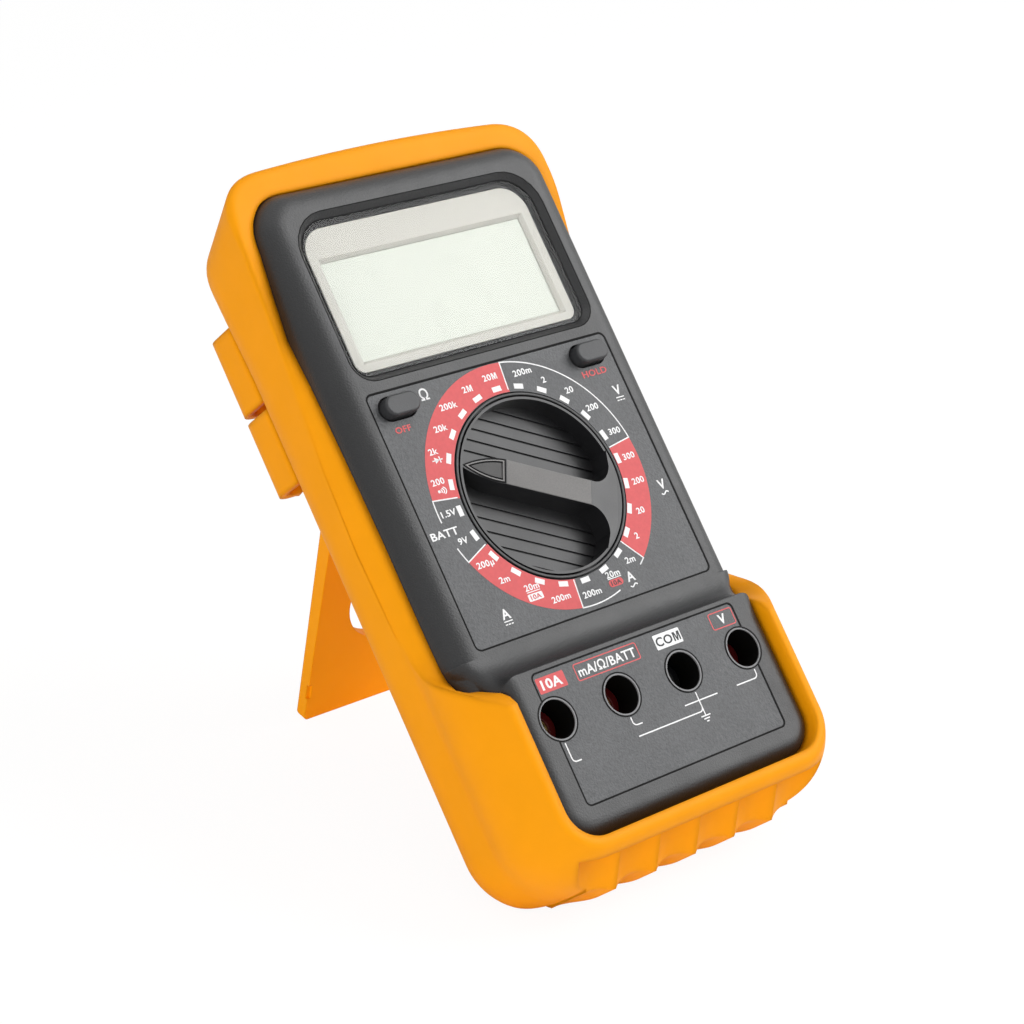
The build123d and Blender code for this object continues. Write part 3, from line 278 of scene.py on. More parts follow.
class Finish:
    """A node material built step by step round one Principled shader."""

    def __init__(self, name, colour, roughness):
        self.material = bpy.data.materials.new(name)
        self.material.use_nodes = True
        self.tree = self.material.node_tree
        self.shader = self.tree.nodes["Principled BSDF"]
        self.shader.inputs["Base Color"].default_value = (*colour, 1)
        self.shader.inputs["Roughness"].default_value = roughness
        self.coords = self.tree.nodes.new("ShaderNodeTexCoord").outputs["Object"]

    def new(self, kind, **values):
        """A new node, with plain settings and input values by name."""
        node = self.tree.nodes.new(kind)
        for key, value in values.items():
            if key in node.inputs:
                node.inputs[key].default_value = value
            else:
                setattr(node, key, value)
        return node

    def link(self, source, target):
        """Joins an output to an input."""
        self.tree.links.new(source, target)

    def noise(self, scale, detail=4.0, roughness=0.55):
        """Cloudy noise over the object, with about scale cells to a metre."""
        node = self.new("ShaderNodeTexNoise", Scale=scale, Detail=detail, Roughness=roughness)
        self.link(self.coords, node.inputs["Vector"])
        return node.outputs["Fac"]

    def spread(self, value, low, high):
        """A noise value stretched to run from low to high."""
        node = self.new("ShaderNodeMapRange")
        node.inputs["From Min"].default_value = NOISE_LOW
        node.inputs["From Max"].default_value = NOISE_HIGH
        node.inputs["To Min"].default_value = low
        node.inputs["To Max"].default_value = high
        self.link(value, node.inputs["Value"])
        return node.outputs["Result"]

    def vary_roughness(self, scale, low, high):
        """Roughness that drifts between two values."""
        self.link(self.spread(self.noise(scale), low, high), self.shader.inputs["Roughness"])

    def vary_colour(self, scale, dark, light):
        """Base colour that drifts between two shades."""
        mix = self.new("ShaderNodeMix", data_type="RGBA")
        mix.inputs["A"].default_value = (*dark, 1)
        mix.inputs["B"].default_value = (*light, 1)
        self.link(self.spread(self.noise(scale), 0, 1), mix.inputs["Factor"])
        self.link(mix.outputs["Result"], self.shader.inputs["Base Color"])

    def speckle(self, scale, amount):
        """Fine mottling: the base colour times 1 - amount to 1 + amount, cell by cell."""
        target = self.shader.inputs["Base Color"]
        drift = target.links[0].from_socket
        gain = self.new("ShaderNodeMix", data_type="RGBA", blend_type="MULTIPLY")
        gain.inputs["Factor"].default_value = 1.0
        grey = self.spread(self.noise(scale, detail=2.0, roughness=0.7), 1 - amount, 1 + amount)
        self.link(drift, gain.inputs["A"])
        self.link(grey, gain.inputs["B"])
        self.link(gain.outputs["Result"], target)

    def grain(self, scale, depth, edge=0.0):
        """Moulded grain as bump, over edges softened by a small radius."""
        bump = self.new("ShaderNodeBump", Strength=1.0, Distance=depth)
        self.link(self.noise(scale, detail=3.0), bump.inputs["Height"])
        if edge:
            bevel = self.new("ShaderNodeBevel", Radius=edge)
            bevel.samples = 8
            self.link(bevel.outputs["Normal"], bump.inputs["Normal"])
        self.link(bump.outputs["Normal"], self.shader.inputs["Normal"])


def shade(colour, factor):
    """A colour made darker or lighter."""
    return tuple(min(1.0, c * factor) for c in colour)


# A grain is its cells to a metre and its depth in metres.
PLAIN_GRAIN = (2500.0, 0.00004)
SMOOTH_GRAIN = (3000.0, 0.00001)
STRIP_GRAIN = (5200.0, 0.00003)
INK_GRAIN = (3500.0, 0.00001)
METAL_GRAIN = (4000.0, 0.000005)

# Colour and gloss of a moulding drift in these many cells to a metre, the gloss by GLOSS_DRIFT
# to either side.  Its speckle is a little coarser than its grain.
COLOUR_CELLS = 90.0
GLOSS_CELLS = 140.0
GLOSS_DRIFT = 0.05
SPECKLE_TO_GRAIN = 0.6


def moulded(name, colour, roughness, grain=PLAIN_GRAIN, edge=0.0005, specular=0.5, drift=0.06,
            speckle=0.0):
    """Moulded plastic or rubber: slow drift in colour and gloss, fine grain, and edges that are
    softened in shading by the radius edge, in metres."""
    finish = Finish(name, colour, roughness)
    finish.shader.inputs["Specular IOR Level"].default_value = specular
    finish.vary_colour(COLOUR_CELLS, shade(colour, 1 - drift), shade(colour, 1 + drift))
    if speckle:
        finish.speckle(grain[0] * SPECKLE_TO_GRAIN, speckle)
    finish.vary_roughness(GLOSS_CELLS, roughness - GLOSS_DRIFT, roughness + GLOSS_DRIFT)
    finish.grain(*grain, edge)
    return finish.material


def printed(name, colour, roughness=0.5):
    """Screen-printed ink: matt, with a slightly uneven colour."""
    finish = Finish(name, colour, roughness)
    finish.shader.inputs["Specular IOR Level"].default_value = 0.2
    finish.vary_colour(scale=900.0, dark=shade(colour, 0.93), light=shade(colour, 1.03))
    finish.grain(*INK_GRAIN)
    return finish.material


def metal(name, colour, roughness):
    """Turned or drawn metal with an uneven gloss."""
    finish = Finish(name, colour, roughness)
    finish.shader.inputs["Metallic"].default_value = 1.0
    finish.vary_roughness(scale=1800.0, low=roughness - 0.08, high=roughness + 0.1)
    finish.grain(*METAL_GRAIN)
    return finish.material


def clear(name, colour, roughness, ior):
    """Clear sheet, with a trace of dust in its gloss."""
    finish = Finish(name, colour, roughness)
    finish.shader.inputs["Transmission Weight"].default_value = 1.0
    finish.shader.inputs["Specular IOR Level"].default_value = 0.2
    finish.shader.inputs["IOR"].default_value = ior
    finish.vary_roughness(scale=600.0, low=roughness * 0.5, high=roughness * 1.5)
    return finish.material


def painted_shade_material():
    """Near-black material for painted shade: in the gaps round the sheets and the lens, in the grooves
    round the socket wells and on the wells' walls.  Made once.
    """
    name = "well_black"
    made = bpy.data.materials.get(name)
    return made or moulded(name, (0.002, 0.002, 0.002), 0.6, SMOOTH_GRAIN, edge=0.0, specular=0.1)


# ---- what a user may change --------------------------------------------------
def size_setting(name, description, default):
    """A size property in millimetres."""
    return FloatProperty(name=name, description=description, default=default, min=0.0)


def colour_setting(name, description, default):
    """A colour property."""
    return FloatVectorProperty(name=name, description=description, default=default, subtype="COLOR",
                               size=3, min=0.0, max=1.0)


class MeterSizes(bpy.types.PropertyGroup):
    """Sizes of the prints, in millimetres."""

    ink: size_setting("Ink thickness", "How far the ink stands over the printed sheet", 0.03)
    number: size_setting("Number height", "Height of the range numbers", 1.55)
    unit: size_setting("Unit height", "Height of the unit marks round the dial", 2.4)
    mark: size_setting("Socket letter height", "Height of the letters over the sockets", 2.25)
    line: size_setting("Line width", "Width of the white lines", 0.3)
    # The dark line round each sheet is painted shade in the gap there.
    gap: size_setting("Edge line width", "Width of the dark gap round each printed sheet", 0.42)
    tick_long: size_setting("Tick length", "Length of a range mark across the ring", 2.55)
    tick_wide: size_setting("Tick width", "Width of a range mark along the radius", 1.25)
    tick_radius: size_setting("Tick radius", "Distance of the range marks from the dial's middle", 24.15)
    sector_in: size_setting("Sector inner radius", "Inner edge of the coloured sectors", 23.05)
    sector_out: size_setting("Sector outer radius", "Outer edge of the coloured sectors", 30.2)
    # The light rings are painted highlights on the wells' edges.
    well: size_setting("Well radius", "Opening of the light rings round the socket wells", 4.5)


class MeterColours(bpy.types.PropertyGroup):
    """Colours of the finishes."""

    # The stand takes this orange made 1.1 times lighter, as painted light.
    boot: colour_setting("Boot", "Rubber boot and stand", (0.91, 0.335, 0.003))
    case: colour_setting("Case", "Moulded case", (0.012, 0.0123, 0.013))
    sheet: colour_setting("Printed sheet", "Printed sheets on the face", (0.037, 0.0385, 0.041))
    knob: colour_setting("Knob", "Range knob", (0.010, 0.010, 0.011))
    strip: colour_setting("Knob strip", "Satin strip along the knob's bar", (0.105, 0.101, 0.098))
    red: colour_setting("Red ink", "Red sectors and socket marks", (0.60, 0.092, 0.096))
    white: colour_setting("White ink", "Ticks, numbers and lines", (0.86, 0.86, 0.86))
    # The light grey of the well rings is a painted highlight.
    ring: colour_setting("Well ring", "Thin light ring round each socket well", (0.16, 0.16, 0.165))
    border: colour_setting("Display border", "Pale border round the display", (0.51, 0.495, 0.45))
    display: colour_setting("Display", "Liquid crystal background", (0.60, 0.625, 0.56))
    floor: colour_setting("Floor", "Floor of the stage", (0.92, 0.91, 0.905))


# ---- what the prints share ---------------------------------------------------
# Each ink material, and the colour it takes.
INKS = {"white_ink": "white", "red_ink": "red", "dark_ink": "sheet"}

# How many ink thicknesses the prints stand over their sheet: sectors and boxes, lines, words
# under the buttons, marks.  No two kinds that overlap share a height.
BASE_LAYERS = 1.0
LINE_LAYERS = 1.5
WORD_LAYERS = 2.0
MARK_LAYERS = 2.2

# Width of the fine lines: in signs and boxes, round the lens and round the pointer.
FINE_LINE = 0.26


def sizes(context):
    """The sizes a user may change."""
    return context.scene.meter_sizes


def layer(context, sheet, count):
    """Lower and upper height of a print of so many ink thicknesses on a sheet."""
    return sheet, sheet + count * sizes(context).ink


def ink(context, name):
    """Ink material, made once."""
    made = bpy.data.materials.get(name)
    return made or printed(name, tuple(getattr(context.scene.meter_colours, INKS[name])))


def add_print(context, name, ink_name, shapes):
    """Shapes printed in one ink, as one piece."""
    add_piece(name, join(shapes), ink(context, ink_name))


# ---- the dial's print --------------------------------------------------------
# The groups of ranges, clockwise from the left, with the number of positions in each.  The
# boundary between two groups lies half a step from a range mark.  Angles are in degrees.
GROUP_SIZES = {"ohm": 6, "volt_dc": 5, "volt_ac": 4, "amp_ac": 3, "amp_dc": 4, "battery": 2}
POSITIONS = sum(GROUP_SIZES.values())
STEP = 360 / POSITIONS
BOUNDARIES = 180 - STEP / 2 - STEP * np.cumsum([0, *GROUP_SIZES.values()])
GROUPS = {name: BOUNDARIES[i:i + 2] for i, name in enumerate(GROUP_SIZES)}
RED_GROUPS = ("ohm", "volt_ac", "amp_dc")

# Where the white outline of a group is left open for its unit mark, and how far outside the
# sectors' inner edge the radial lines start.
OUTLINE_OPENINGS = {"amp_ac": (-56.5, -74.5), "battery": (-165.0, -177.5)}
LINE_FROM_RIM = 0.35

# Each range number and its middle.
RANGE_LABELS = [
    ("20M", -1.1, 27.5), ("2M", -8.5, 26.2), ("200k", -15.4, 23.6), ("20k", -20.0, 19.15),
    ("2k", -24.6, 14.5), ("200", -26.8, 7.6), ("1.5V", -27.6, 0.1), ("9V", -27.0, -6.75),
    ("200µ", -24.0, -13.4), ("2m", -20.9, -17.9), ("20m", -14.75, -21.4), ("200m", -8.35, -25.95),
    ("200m", 0.4, -27.2), ("20m", 8.1, -24.6), ("2m", 14.6, -22.8), ("2", 19.35, -18.05),
    ("20", 23.6, -12.7), ("200", 26.7, -5.8), ("300", 27.2, 0.4), ("300", 26.4, 7.1),
    ("200", 23.25, 14.05), ("20", 19.0, 19.5), ("2", 13.2, 23.5), ("200m", 8.3, 26.7)]

# Each unit letter and its middle, and the height of the sign under it.
DIRECT_MARKS = [("V", 32.4, 16.3, 14.45), ("A", -24.55, -25.3, -27.0)]
ALTERNATING_MARKS = [("V", 32.8, -8.4, -10.6), ("A", 12.6, -26.5, -28.7)]
OHM_MARK = (-20.45, 27.75)
OHM_TO_UNIT = 1.15
BATTERY_MARK = (-30.9, -4.05)
BATTERY_HEIGHT = 1.85

# Symbols under the numbers of the two lowest ohm ranges.
DIODE_MARK = (-24.4, 12.35)
SOUND_MARK = (-26.4, 5.35)

# The two ranges that use the 10 A socket: sides of the patch that carries the mark (left, right,
# lower, upper), its corner radius, and start, end and width of the bar over it.
MARK_10A_HEIGHT = 1.15
MARK_10A_STRETCH = 1.2
DIRECT_PATCH = (-16.85, -12.65, -24.65, -22.95)
DIRECT_CORNER = 0.3
DIRECT_BAR = ((-16.7, -22.5), (-12.8, -22.5), 0.2)
ALTERNATING_PATCH = (5.95, 10.15, -27.6, -25.9)
ALTERNATING_CORNER = 0.8
ALTERNATING_BAR = ((6.1, -25.6), (10.2, -25.6), 0.22)

# Words under the two buttons: text, middle, height and stretch.
BUTTON_WORDS = [("HOLD", (28.35, 21.9), 1.6, 1.22), ("OFF", (-29.6, 21.3), 1.5, 1.2)]


def polar(radius, degrees):
    """A point on a circle round the middle of the dial's print, which is turned by PRINT_TURN."""
    angle = math.radians(degrees + PRINT_TURN)
    return PRINT_MIDDLE + (radius * math.cos(angle), radius * math.sin(angle))


class METER_OT_sectors(bpy.types.Operator):
    """Red sectors of the dial: strips from the rim of the opening out to the print's own circle"""

    bl_idname = "meter.sectors"
    bl_label = "Dial sectors"

    def execute(self, context):
        s = sizes(context)
        low, high = layer(context, DIAL_PRINT, BASE_LAYERS)
        bands = []
        for name in RED_GROUPS:
            end, start = GROUPS[name] + PRINT_TURN
            inner = arc(s.sector_in, start, end)
            outer = arc(s.sector_out, start, end, PRINT_MIDDLE)
            bands.append(between(inner, outer, low, high))
        add_print(context, "dial_red_sectors", "red_ink", bands)
        return {"FINISHED"}


def outline_arcs():
    """Both ends of each arc of the white outlines: one arc round the direct volts, and two, with
    an opening between them, round each group that has its unit mark there."""
    arcs = [GROUPS["volt_dc"]]
    for name, (first, second) in OUTLINE_OPENINGS.items():
        arcs.append((GROUPS[name][0], first))
        arcs.append((second, GROUPS[name][1]))
    return arcs


class METER_OT_dial_lines(bpy.types.Operator):
    """White outlines of the grey sectors: arcs and radial lines"""

    bl_idname = "meter.dial_lines"
    bl_label = "Dial lines"

    def execute(self, context):
        s = sizes(context)
        low, high = layer(context, DIAL_PRINT, LINE_LAYERS)
        half = s.line / 2
        shapes = []
        for a, b in outline_arcs():
            ends = sorted((a + PRINT_TURN, b + PRINT_TURN))
            inner = arc(s.sector_out - half, *ends, PRINT_MIDDLE)
            outer = arc(s.sector_out + half, *ends, PRINT_MIDDLE)
            shapes.append(between(inner, outer, low, high))
        for degrees in BOUNDARIES[1:]:
            line = [polar(s.sector_in + LINE_FROM_RIM, degrees), polar(s.sector_out + half, degrees)]
            shapes.append(stroke(line, s.line, low, high))
        add_print(context, "dial_lines", "white_ink", shapes)
        return {"FINISHED"}


class METER_OT_ticks(bpy.types.Operator):
    """One white mark at each position of the dial"""

    bl_idname = "meter.ticks"
    bl_label = "Range marks"

    def execute(self, context):
        s = sizes(context)
        low, high = layer(context, DIAL_PRINT, MARK_LAYERS)
        turn = math.degrees(s.tick_long / 2 / s.tick_radius)
        shapes = []
        for i in range(POSITIONS):
            line = [polar(s.tick_radius, STEP * i - turn), polar(s.tick_radius, STEP * i + turn)]
            shapes.append(stroke(line, s.tick_wide, low, high))
        add_print(context, "dial_marks", "white_ink", shapes)
        return {"FINISHED"}


class METER_OT_numbers(bpy.types.Operator):
    """Range numbers round the dial"""

    bl_idname = "meter.numbers"
    bl_label = "Range numbers"

    def execute(self, context):
        s = sizes(context)
        low, high = layer(context, DIAL_PRINT, MARK_LAYERS)
        shapes = []
        for text, x, y in RANGE_LABELS:
            letters = words_and_m if text.endswith("M") else words
            shapes.append(letters(text, (x, y), s.number, low, high))
        add_print(context, "dial_numbers", "white_ink", shapes)
        return {"FINISHED"}


def direct_sign(x, y, low, high):
    """Sign of direct current: a bar, and a row of three dashes under it."""
    half_bar, half_dash, pitch, drop = 1.2, 0.3, 0.85, 0.72
    shapes = [stroke([(x - half_bar, y), (x + half_bar, y)], FINE_LINE, low, high)]
    for k in (-1, 0, 1):
        middle = x + pitch * k
        dash = [(middle - half_dash, y - drop), (middle + half_dash, y - drop)]
        shapes.append(stroke(dash, FINE_LINE, low, high))
    return shapes


def alternating_sign(x, y, low, high):
    """Sign of alternating current: one wave, at height y + rise * sin of the phase."""
    half, rise, width = 1.1, 0.3, 0.3
    phase = np.linspace(-math.pi, math.pi, 17)
    wave = np.stack([x + phase / math.pi * half, y + rise * np.sin(phase)], -1)
    return [stroke(wave, width, low, high)]


class METER_OT_units(bpy.types.Operator):
    """Unit marks beside each group of ranges"""

    bl_idname = "meter.units"
    bl_label = "Unit marks"

    def execute(self, context):
        s = sizes(context)
        low, high = layer(context, DIAL_PRINT, MARK_LAYERS)
        shapes = [words("Ω", OHM_MARK, s.unit * OHM_TO_UNIT, low, high, stretch=0.95, bold=0.012),
                  words("BATT", BATTERY_MARK, BATTERY_HEIGHT, low, high, stretch=1.22)]
        for marks, sign in ((DIRECT_MARKS, direct_sign), (ALTERNATING_MARKS, alternating_sign)):
            for text, x, y, sign_y in marks:
                shapes.append(words(text, (x, y), s.unit, low, high, stretch=1.0))
                shapes += sign(x, sign_y, low, high)
        add_print(context, "unit_marks", "white_ink", shapes)
        return {"FINISHED"}


def diode_mark(x, y, low, high):
    """Diode symbol: a line through a triangle and a bar."""
    reach, half, back, tip, bar, bar_width = 1.45, 0.75, -0.7, 0.6, 0.7, 0.3
    return [stroke([(x - reach, y), (x + reach, y)], FINE_LINE, low, high),
            slab([(x + back, y - half), (x + tip, y), (x + back, y + half)], low, high),
            stroke([(x + bar, y - half), (x + bar, y + half)], bar_width, low, high)]


def sound_mark(x, y, low, high):
    """Sounder symbol: a dot, and three arcs flattened to a part of their height."""
    dot, dot_radius, source, flat = -1.1, 0.36, -1.2, 0.55
    shapes = [slab(ring_outline(x + dot, y, dot_radius), low, high)]
    angle = np.linspace(-0.8, 0.8, 9)
    for radius in (0.9, 1.5, 2.1):
        wave = np.stack([x + source + radius * np.cos(angle), y + radius * np.sin(angle) * flat], -1)
        shapes.append(stroke(wave, FINE_LINE, low, high))
    return shapes


def mark_10a(patch, low, high):
    """The mark of the 10 A socket in the middle of a patch."""
    x0, x1, y0, y1 = patch
    middle = ((x0 + x1) / 2, (y0 + y1) / 2)
    return words("10A", middle, MARK_10A_HEIGHT, low, high, stretch=MARK_10A_STRETCH)


class METER_OT_symbols(bpy.types.Operator):
    """Diode and sounder symbols, and the bars and patches of the two 10 A ranges"""

    bl_idname = "meter.symbols"
    bl_label = "Range symbols"

    def execute(self, context):
        low, high = layer(context, DIAL_PRINT, MARK_LAYERS)
        over = high + sizes(context).ink
        shapes = diode_mark(*DIODE_MARK, low, high) + sound_mark(*SOUND_MARK, low, high)
        shapes.append(slab(rounded_corners(*DIRECT_PATCH, DIRECT_CORNER), low, high))
        for start, end, width in (DIRECT_BAR, ALTERNATING_BAR):
            shapes.append(stroke([start, end], width, low, high))
        red_patch = slab(rounded_corners(*ALTERNATING_PATCH, ALTERNATING_CORNER), low, high)
        add_print(context, "range_symbols", "white_ink", shapes)
        add_print(context, "range_patch", "red_ink", [red_patch])
        add_print(context, "current_mark_red", "red_ink", [mark_10a(DIRECT_PATCH, high, over)])
        add_print(context, "current_mark_dark", "dark_ink", [mark_10a(ALTERNATING_PATCH, high, over)])
        return {"FINISHED"}


class METER_OT_button_marks(bpy.types.Operator):
    """Red words under the two buttons"""

    bl_idname = "meter.button_marks"
    bl_label = "Button marks"

    def execute(self, context):
        low, high = layer(context, DIAL_PRINT, WORD_LAYERS)
        shapes = [words(text, middle, height, low, high, stretch)
                  for text, middle, height, stretch in BUTTON_WORDS]
        add_print(context, "button_marks", "red_ink", shapes)
        return {"FINISHED"}


# ---- the sockets' print, rings and linings -----------------------------------
# Each socket's mark: left and right side of its box, and the middle of its letters.  The white
# letters have a stretch and a boldness each.
MARK_10A = (-30.0, -22.0, -26.05)
MARK_MA = (-18.85, -0.25, -9.6)
MARK_COM = (5.1, 13.15, 9.1)
MARK_V = (22.7, 29.9, 26.25)
WHITE_LETTERS = [("10A", MARK_10A, 1.18, 0.03), ("mA/Ω/BATT", MARK_MA, 1.02, 0.015),
                 ("V", MARK_V, 1.0, 0.03)]

# The boxes run from BOX_LOW to BOX_HIGH.  The outlined ones reach BOX_STEP past both, and the
# white one starts BOX_STEP higher.
BOX_LOW = -45.55
BOX_HIGH = -41.95
BOX_STEP = 0.1
BOX_MIDDLE = (BOX_LOW + BOX_HIGH) / 2
BOX_CORNER = 0.3
OUTLINE_CORNER = 0.5

# The letters stand this many ink thicknesses over the boxes, and the dark ones are a little
# lower than the white ones.
LETTER_LAYERS = 1.2
DARK_TO_WHITE = 0.95

# Radii round the middle of a socket: the painted shade just inside the well's wall, the light ring
# that is a painted highlight on the well's edge, and the dark ring outside it, a painted shadow.
WELL_SHADE_OUTER = 4.72
RING_OUTER = 4.86
SHADOW_INNER = 4.9
SHADOW_OUTER = 5.22
WELL_SHADE_BEHIND_RING = 0.05

# Heights: the inner end of the well's painted shade, over the socket in the well, and how far the
# rings and that shade start under the face of the sheet or stand over it.
WELL_SHADE_END = -1.1
RING_DEPTH = 0.3
RING_RISE = 0.07
SHADOW_RISE = 0.1
WELL_SHADE_DEPTH = 0.32

# Outlines (left, right, lower, upper) and corner radii of the two sheets and of the lens.
DIAL_SHEET = (-35.75, 35.75, -31.25, 30.85)
DIAL_SHEET_CORNER = 1.6
SOCKET_SHEET = (-30.6, 30.6, -71.7, -40.75)
SOCKET_SHEET_CORNER = 1.3
LENS = (-34.2, 34.2, 35.2, 73.5)
LENS_CORNERS = (4, 8)

# The black lines of painted shade in the gaps end this much over the case's face, and the one
# in the socket sheet's gap breaks off this far over and under the middle of the wells.  Round the
# lens there are two: how far each lies outside the lens, and its height.
GAP_RISE = 0.012
GAP_BREAK = 4.75
LENS_GAPS = ((0.02, -1.38), (1.66, GAP_RISE))
LENS_GAP_DEPTH = 0.05


class METER_OT_socket_marks(bpy.types.Operator):
    """Boxes and letters over the four sockets"""

    bl_idname = "meter.socket_marks"
    bl_label = "Socket marks"

    def execute(self, context):
        s = sizes(context)
        low, high = layer(context, SOCKET_PRINT, BASE_LAYERS)
        over = high + LETTER_LAYERS * s.ink
        red = [slab(rounded_corners(*MARK_10A[:2], BOX_LOW, BOX_HIGH, BOX_CORNER), low, high)]
        for mark in (MARK_MA, MARK_V):
            outline = rounded_corners(*mark[:2], BOX_LOW - BOX_STEP, BOX_HIGH + BOX_STEP,
                                      OUTLINE_CORNER)
            red.append(stroke(outline, FINE_LINE, low, high, closed=True))
        white = rounded_corners(*MARK_COM[:2], BOX_LOW + BOX_STEP, BOX_HIGH, BOX_CORNER)
        letters = [words(text, (mark[2], BOX_MIDDLE), s.mark, low, over, stretch, bold)
                   for text, mark, stretch, bold in WHITE_LETTERS]
        dark = words_and_m("COM", (MARK_COM[2], BOX_MIDDLE), s.mark * DARK_TO_WHITE, high, over,
                           stretch=1.12)
        add_print(context, "socket_boxes_red", "red_ink", red)
        add_print(context, "socket_box_white", "white_ink", [slab(white, low, high)])
        add_print(context, "socket_letters", "white_ink", letters)
        add_print(context, "socket_letters_dark", "dark_ink", [dark])
        return {"FINISHED"}


class METER_OT_socket_wells(bpy.types.Operator):
    """Light ring as painted highlight, dark ring as painted shadow and black painted shade on the wall of
    each socket well
    """

    bl_idname = "meter.socket_wells"
    bl_label = "Socket wells"

    def execute(self, context):
        s = sizes(context)
        face = SOCKET_PRINT
        well_shade_inner = s.well + WELL_SHADE_BEHIND_RING
        rings, shadows, well_shades = [], [], []
        for mount in SOCKETS.values():
            middle = inside(mount["pos_m"])[:2]
            # Each well gets a light grey ring as a painted highlight on its edge, a black ring as a
            # painted shadow in the groove round it, and a black tube as painted shade on its wall.
            rings.append(washer(middle, s.well, RING_OUTER, face - RING_DEPTH, face + RING_RISE))
            shadows.append(washer(middle, SHADOW_INNER, SHADOW_OUTER, face, face + SHADOW_RISE))
            well_shades.append(washer(middle, well_shade_inner, WELL_SHADE_OUTER, WELL_SHADE_END, face - WELL_SHADE_DEPTH))
        grey = tuple(context.scene.meter_colours.ring)
        light = moulded("well_ring_grey", grey, 0.4, SMOOTH_GRAIN, edge=0.0, specular=0.3)
        add_piece("socket_rings", join(rings), light)
        add_piece("socket_ring_shadows", join(shadows), painted_shade_material())
        add_piece("socket_linings", join(well_shades), painted_shade_material())
        return {"FINISHED"}


def socket_sheet_gap_shade(width):
    """The painted shade in the gap round the socket sheet, in two parts: its outline above the wells
    and below them, each led straight down or up to GAP_BREAK from the middle of the wells."""
    row = inside(next(iter(SOCKETS.values()))["pos_m"])[1]
    half = SOCKET_SHEET[1]
    upper, lower = np.split(rounded_corners(*SOCKET_SHEET, SOCKET_SHEET_CORNER), 2)
    shapes = []
    for part, y, first in ((upper, row + GAP_BREAK, half), (lower, row - GAP_BREAK, -half)):
        line = np.concatenate([[(first, y)], part, [(-first, y)]])
        shapes.append(stroke(line, width, SOCKET_PRINT, SOCKET_FACE + GAP_RISE))
    return shapes


def lens_gap_shades():
    """The two lines of painted shade in the gaps round the lens: its outline grown outwards, corner radii
    included.
    """
    left, right, lower, upper = LENS
    shapes = []
    for grow, height in LENS_GAPS:
        outline = rounded_corners(left - grow, right + grow, lower - grow, upper + grow,
                                  LENS_CORNERS[0] + grow, LENS_CORNERS[1] + grow)
        shapes.append(stroke(outline, FINE_LINE, height - LENS_GAP_DEPTH, height, closed=True))
    return shapes


class METER_OT_sheet_edge_shade(bpy.types.Operator):
    """Black lines of painted shade in the gaps round the display lens, its frame and the two printed
    sheets
    """

    bl_idname = "meter.sheet_edges"
    bl_label = "Sheet edges"

    def execute(self, context):
        width = sizes(context).gap
        dial = rounded_corners(*DIAL_SHEET, DIAL_SHEET_CORNER)
        shapes = [stroke(dial, width, DIAL_PRINT, GAP_RISE, closed=True)]
        shapes += socket_sheet_gap_shade(width) + lens_gap_shades()
        add_piece("sheet_edges", join(shapes), painted_shade_material())
        return {"FINISHED"}


# Lines between the sockets: how far each upright stands beside the middle of its socket, the
# heights of the lines, and how far each foot runs sideways.  The line along the base turns up by
# COMMON_RISE at the common socket, and the cross line runs out to both sides of that.
LINE_OFFSETS = (-0.85, -0.45, 0.5, 0.35)
LINES_TOP = -57.15
LINES_MIDDLE = -59.15
LINES_BASE = -61.7
FIRST_FOOT = 2.3
SECOND_FOOT = 2.5
LAST_FOOT = 6.8
COMMON_RISE = 1.2
CROSS_LEFT = 4.4
CROSS_RIGHT = 5.8

# The earth symbol under the common socket's line: end of the line, and its shrinking bars.
EARTH_STEM = -62.9
EARTH_TOP = -62.85
EARTH_PITCH = 0.65
EARTH_HALF = 1.4
EARTH_SHRINK = 0.52

# Each line lies this much over the one before, so that no two that cross share a surface.
LINE_STEP = 0.004


def bend(corner, start, end, radius=1.0, steps=5):
    """A line from start to end round a corner, with the corner replaced by a quarter circle."""
    corner, start, end = (np.asarray(p, float) for p in (corner, start, end))
    to_start = (start - corner) / np.linalg.norm(start - corner)
    to_end = (end - corner) / np.linalg.norm(end - corner)
    middle = corner + radius * (to_start + to_end)
    angle = np.linspace(0, math.pi / 2, steps + 1)[:, None]
    curve = middle - radius * (np.cos(angle) * to_end + np.sin(angle) * to_start)
    return np.concatenate([start[None], curve, end[None]])


def socket_paths():
    """Paths of all the lines: three hooks, the common socket's base line, the cross line, and the
    upright with the three bars of the earth symbol."""
    xs = sorted(inside(mount["pos_m"])[0] for mount in SOCKETS.values())
    first, second, common, last = (x + offset for x, offset in zip(xs, LINE_OFFSETS))
    top, middle, base = LINES_TOP, LINES_MIDDLE, LINES_BASE
    paths = [bend((first, base), (first, top), (first + FIRST_FOOT, base)),
             bend((second, middle), (second, top), (second + SECOND_FOOT, middle)),
             bend((last, middle), (last, top), (last - LAST_FOOT, middle)),
             bend((common, base), (common, base + COMMON_RISE), (second, base)),
             [(common - CROSS_LEFT, middle), (common + CROSS_RIGHT, middle)],
             [(common, top), (common, EARTH_STEM)]]
    for k in range(3):
        half = EARTH_HALF - EARTH_SHRINK * k
        y = EARTH_TOP - EARTH_PITCH * k
        paths.append([(common - half, y), (common + half, y)])
    return paths


class METER_OT_socket_lines(bpy.types.Operator):
    """White lines that link the sockets, and the earth symbol under the common one"""

    bl_idname = "meter.socket_lines"
    bl_label = "Socket lines"

    def execute(self, context):
        s = sizes(context)
        low, high = layer(context, SOCKET_PRINT, LINE_LAYERS)
        shapes = []
        for i, path in enumerate(socket_paths()):
            lift = LINE_STEP * i
            shapes.append(stroke(path, s.line, low + lift, high + lift))
        add_print(context, "socket_lines", "white_ink", shapes)
        return {"FINISHED"}


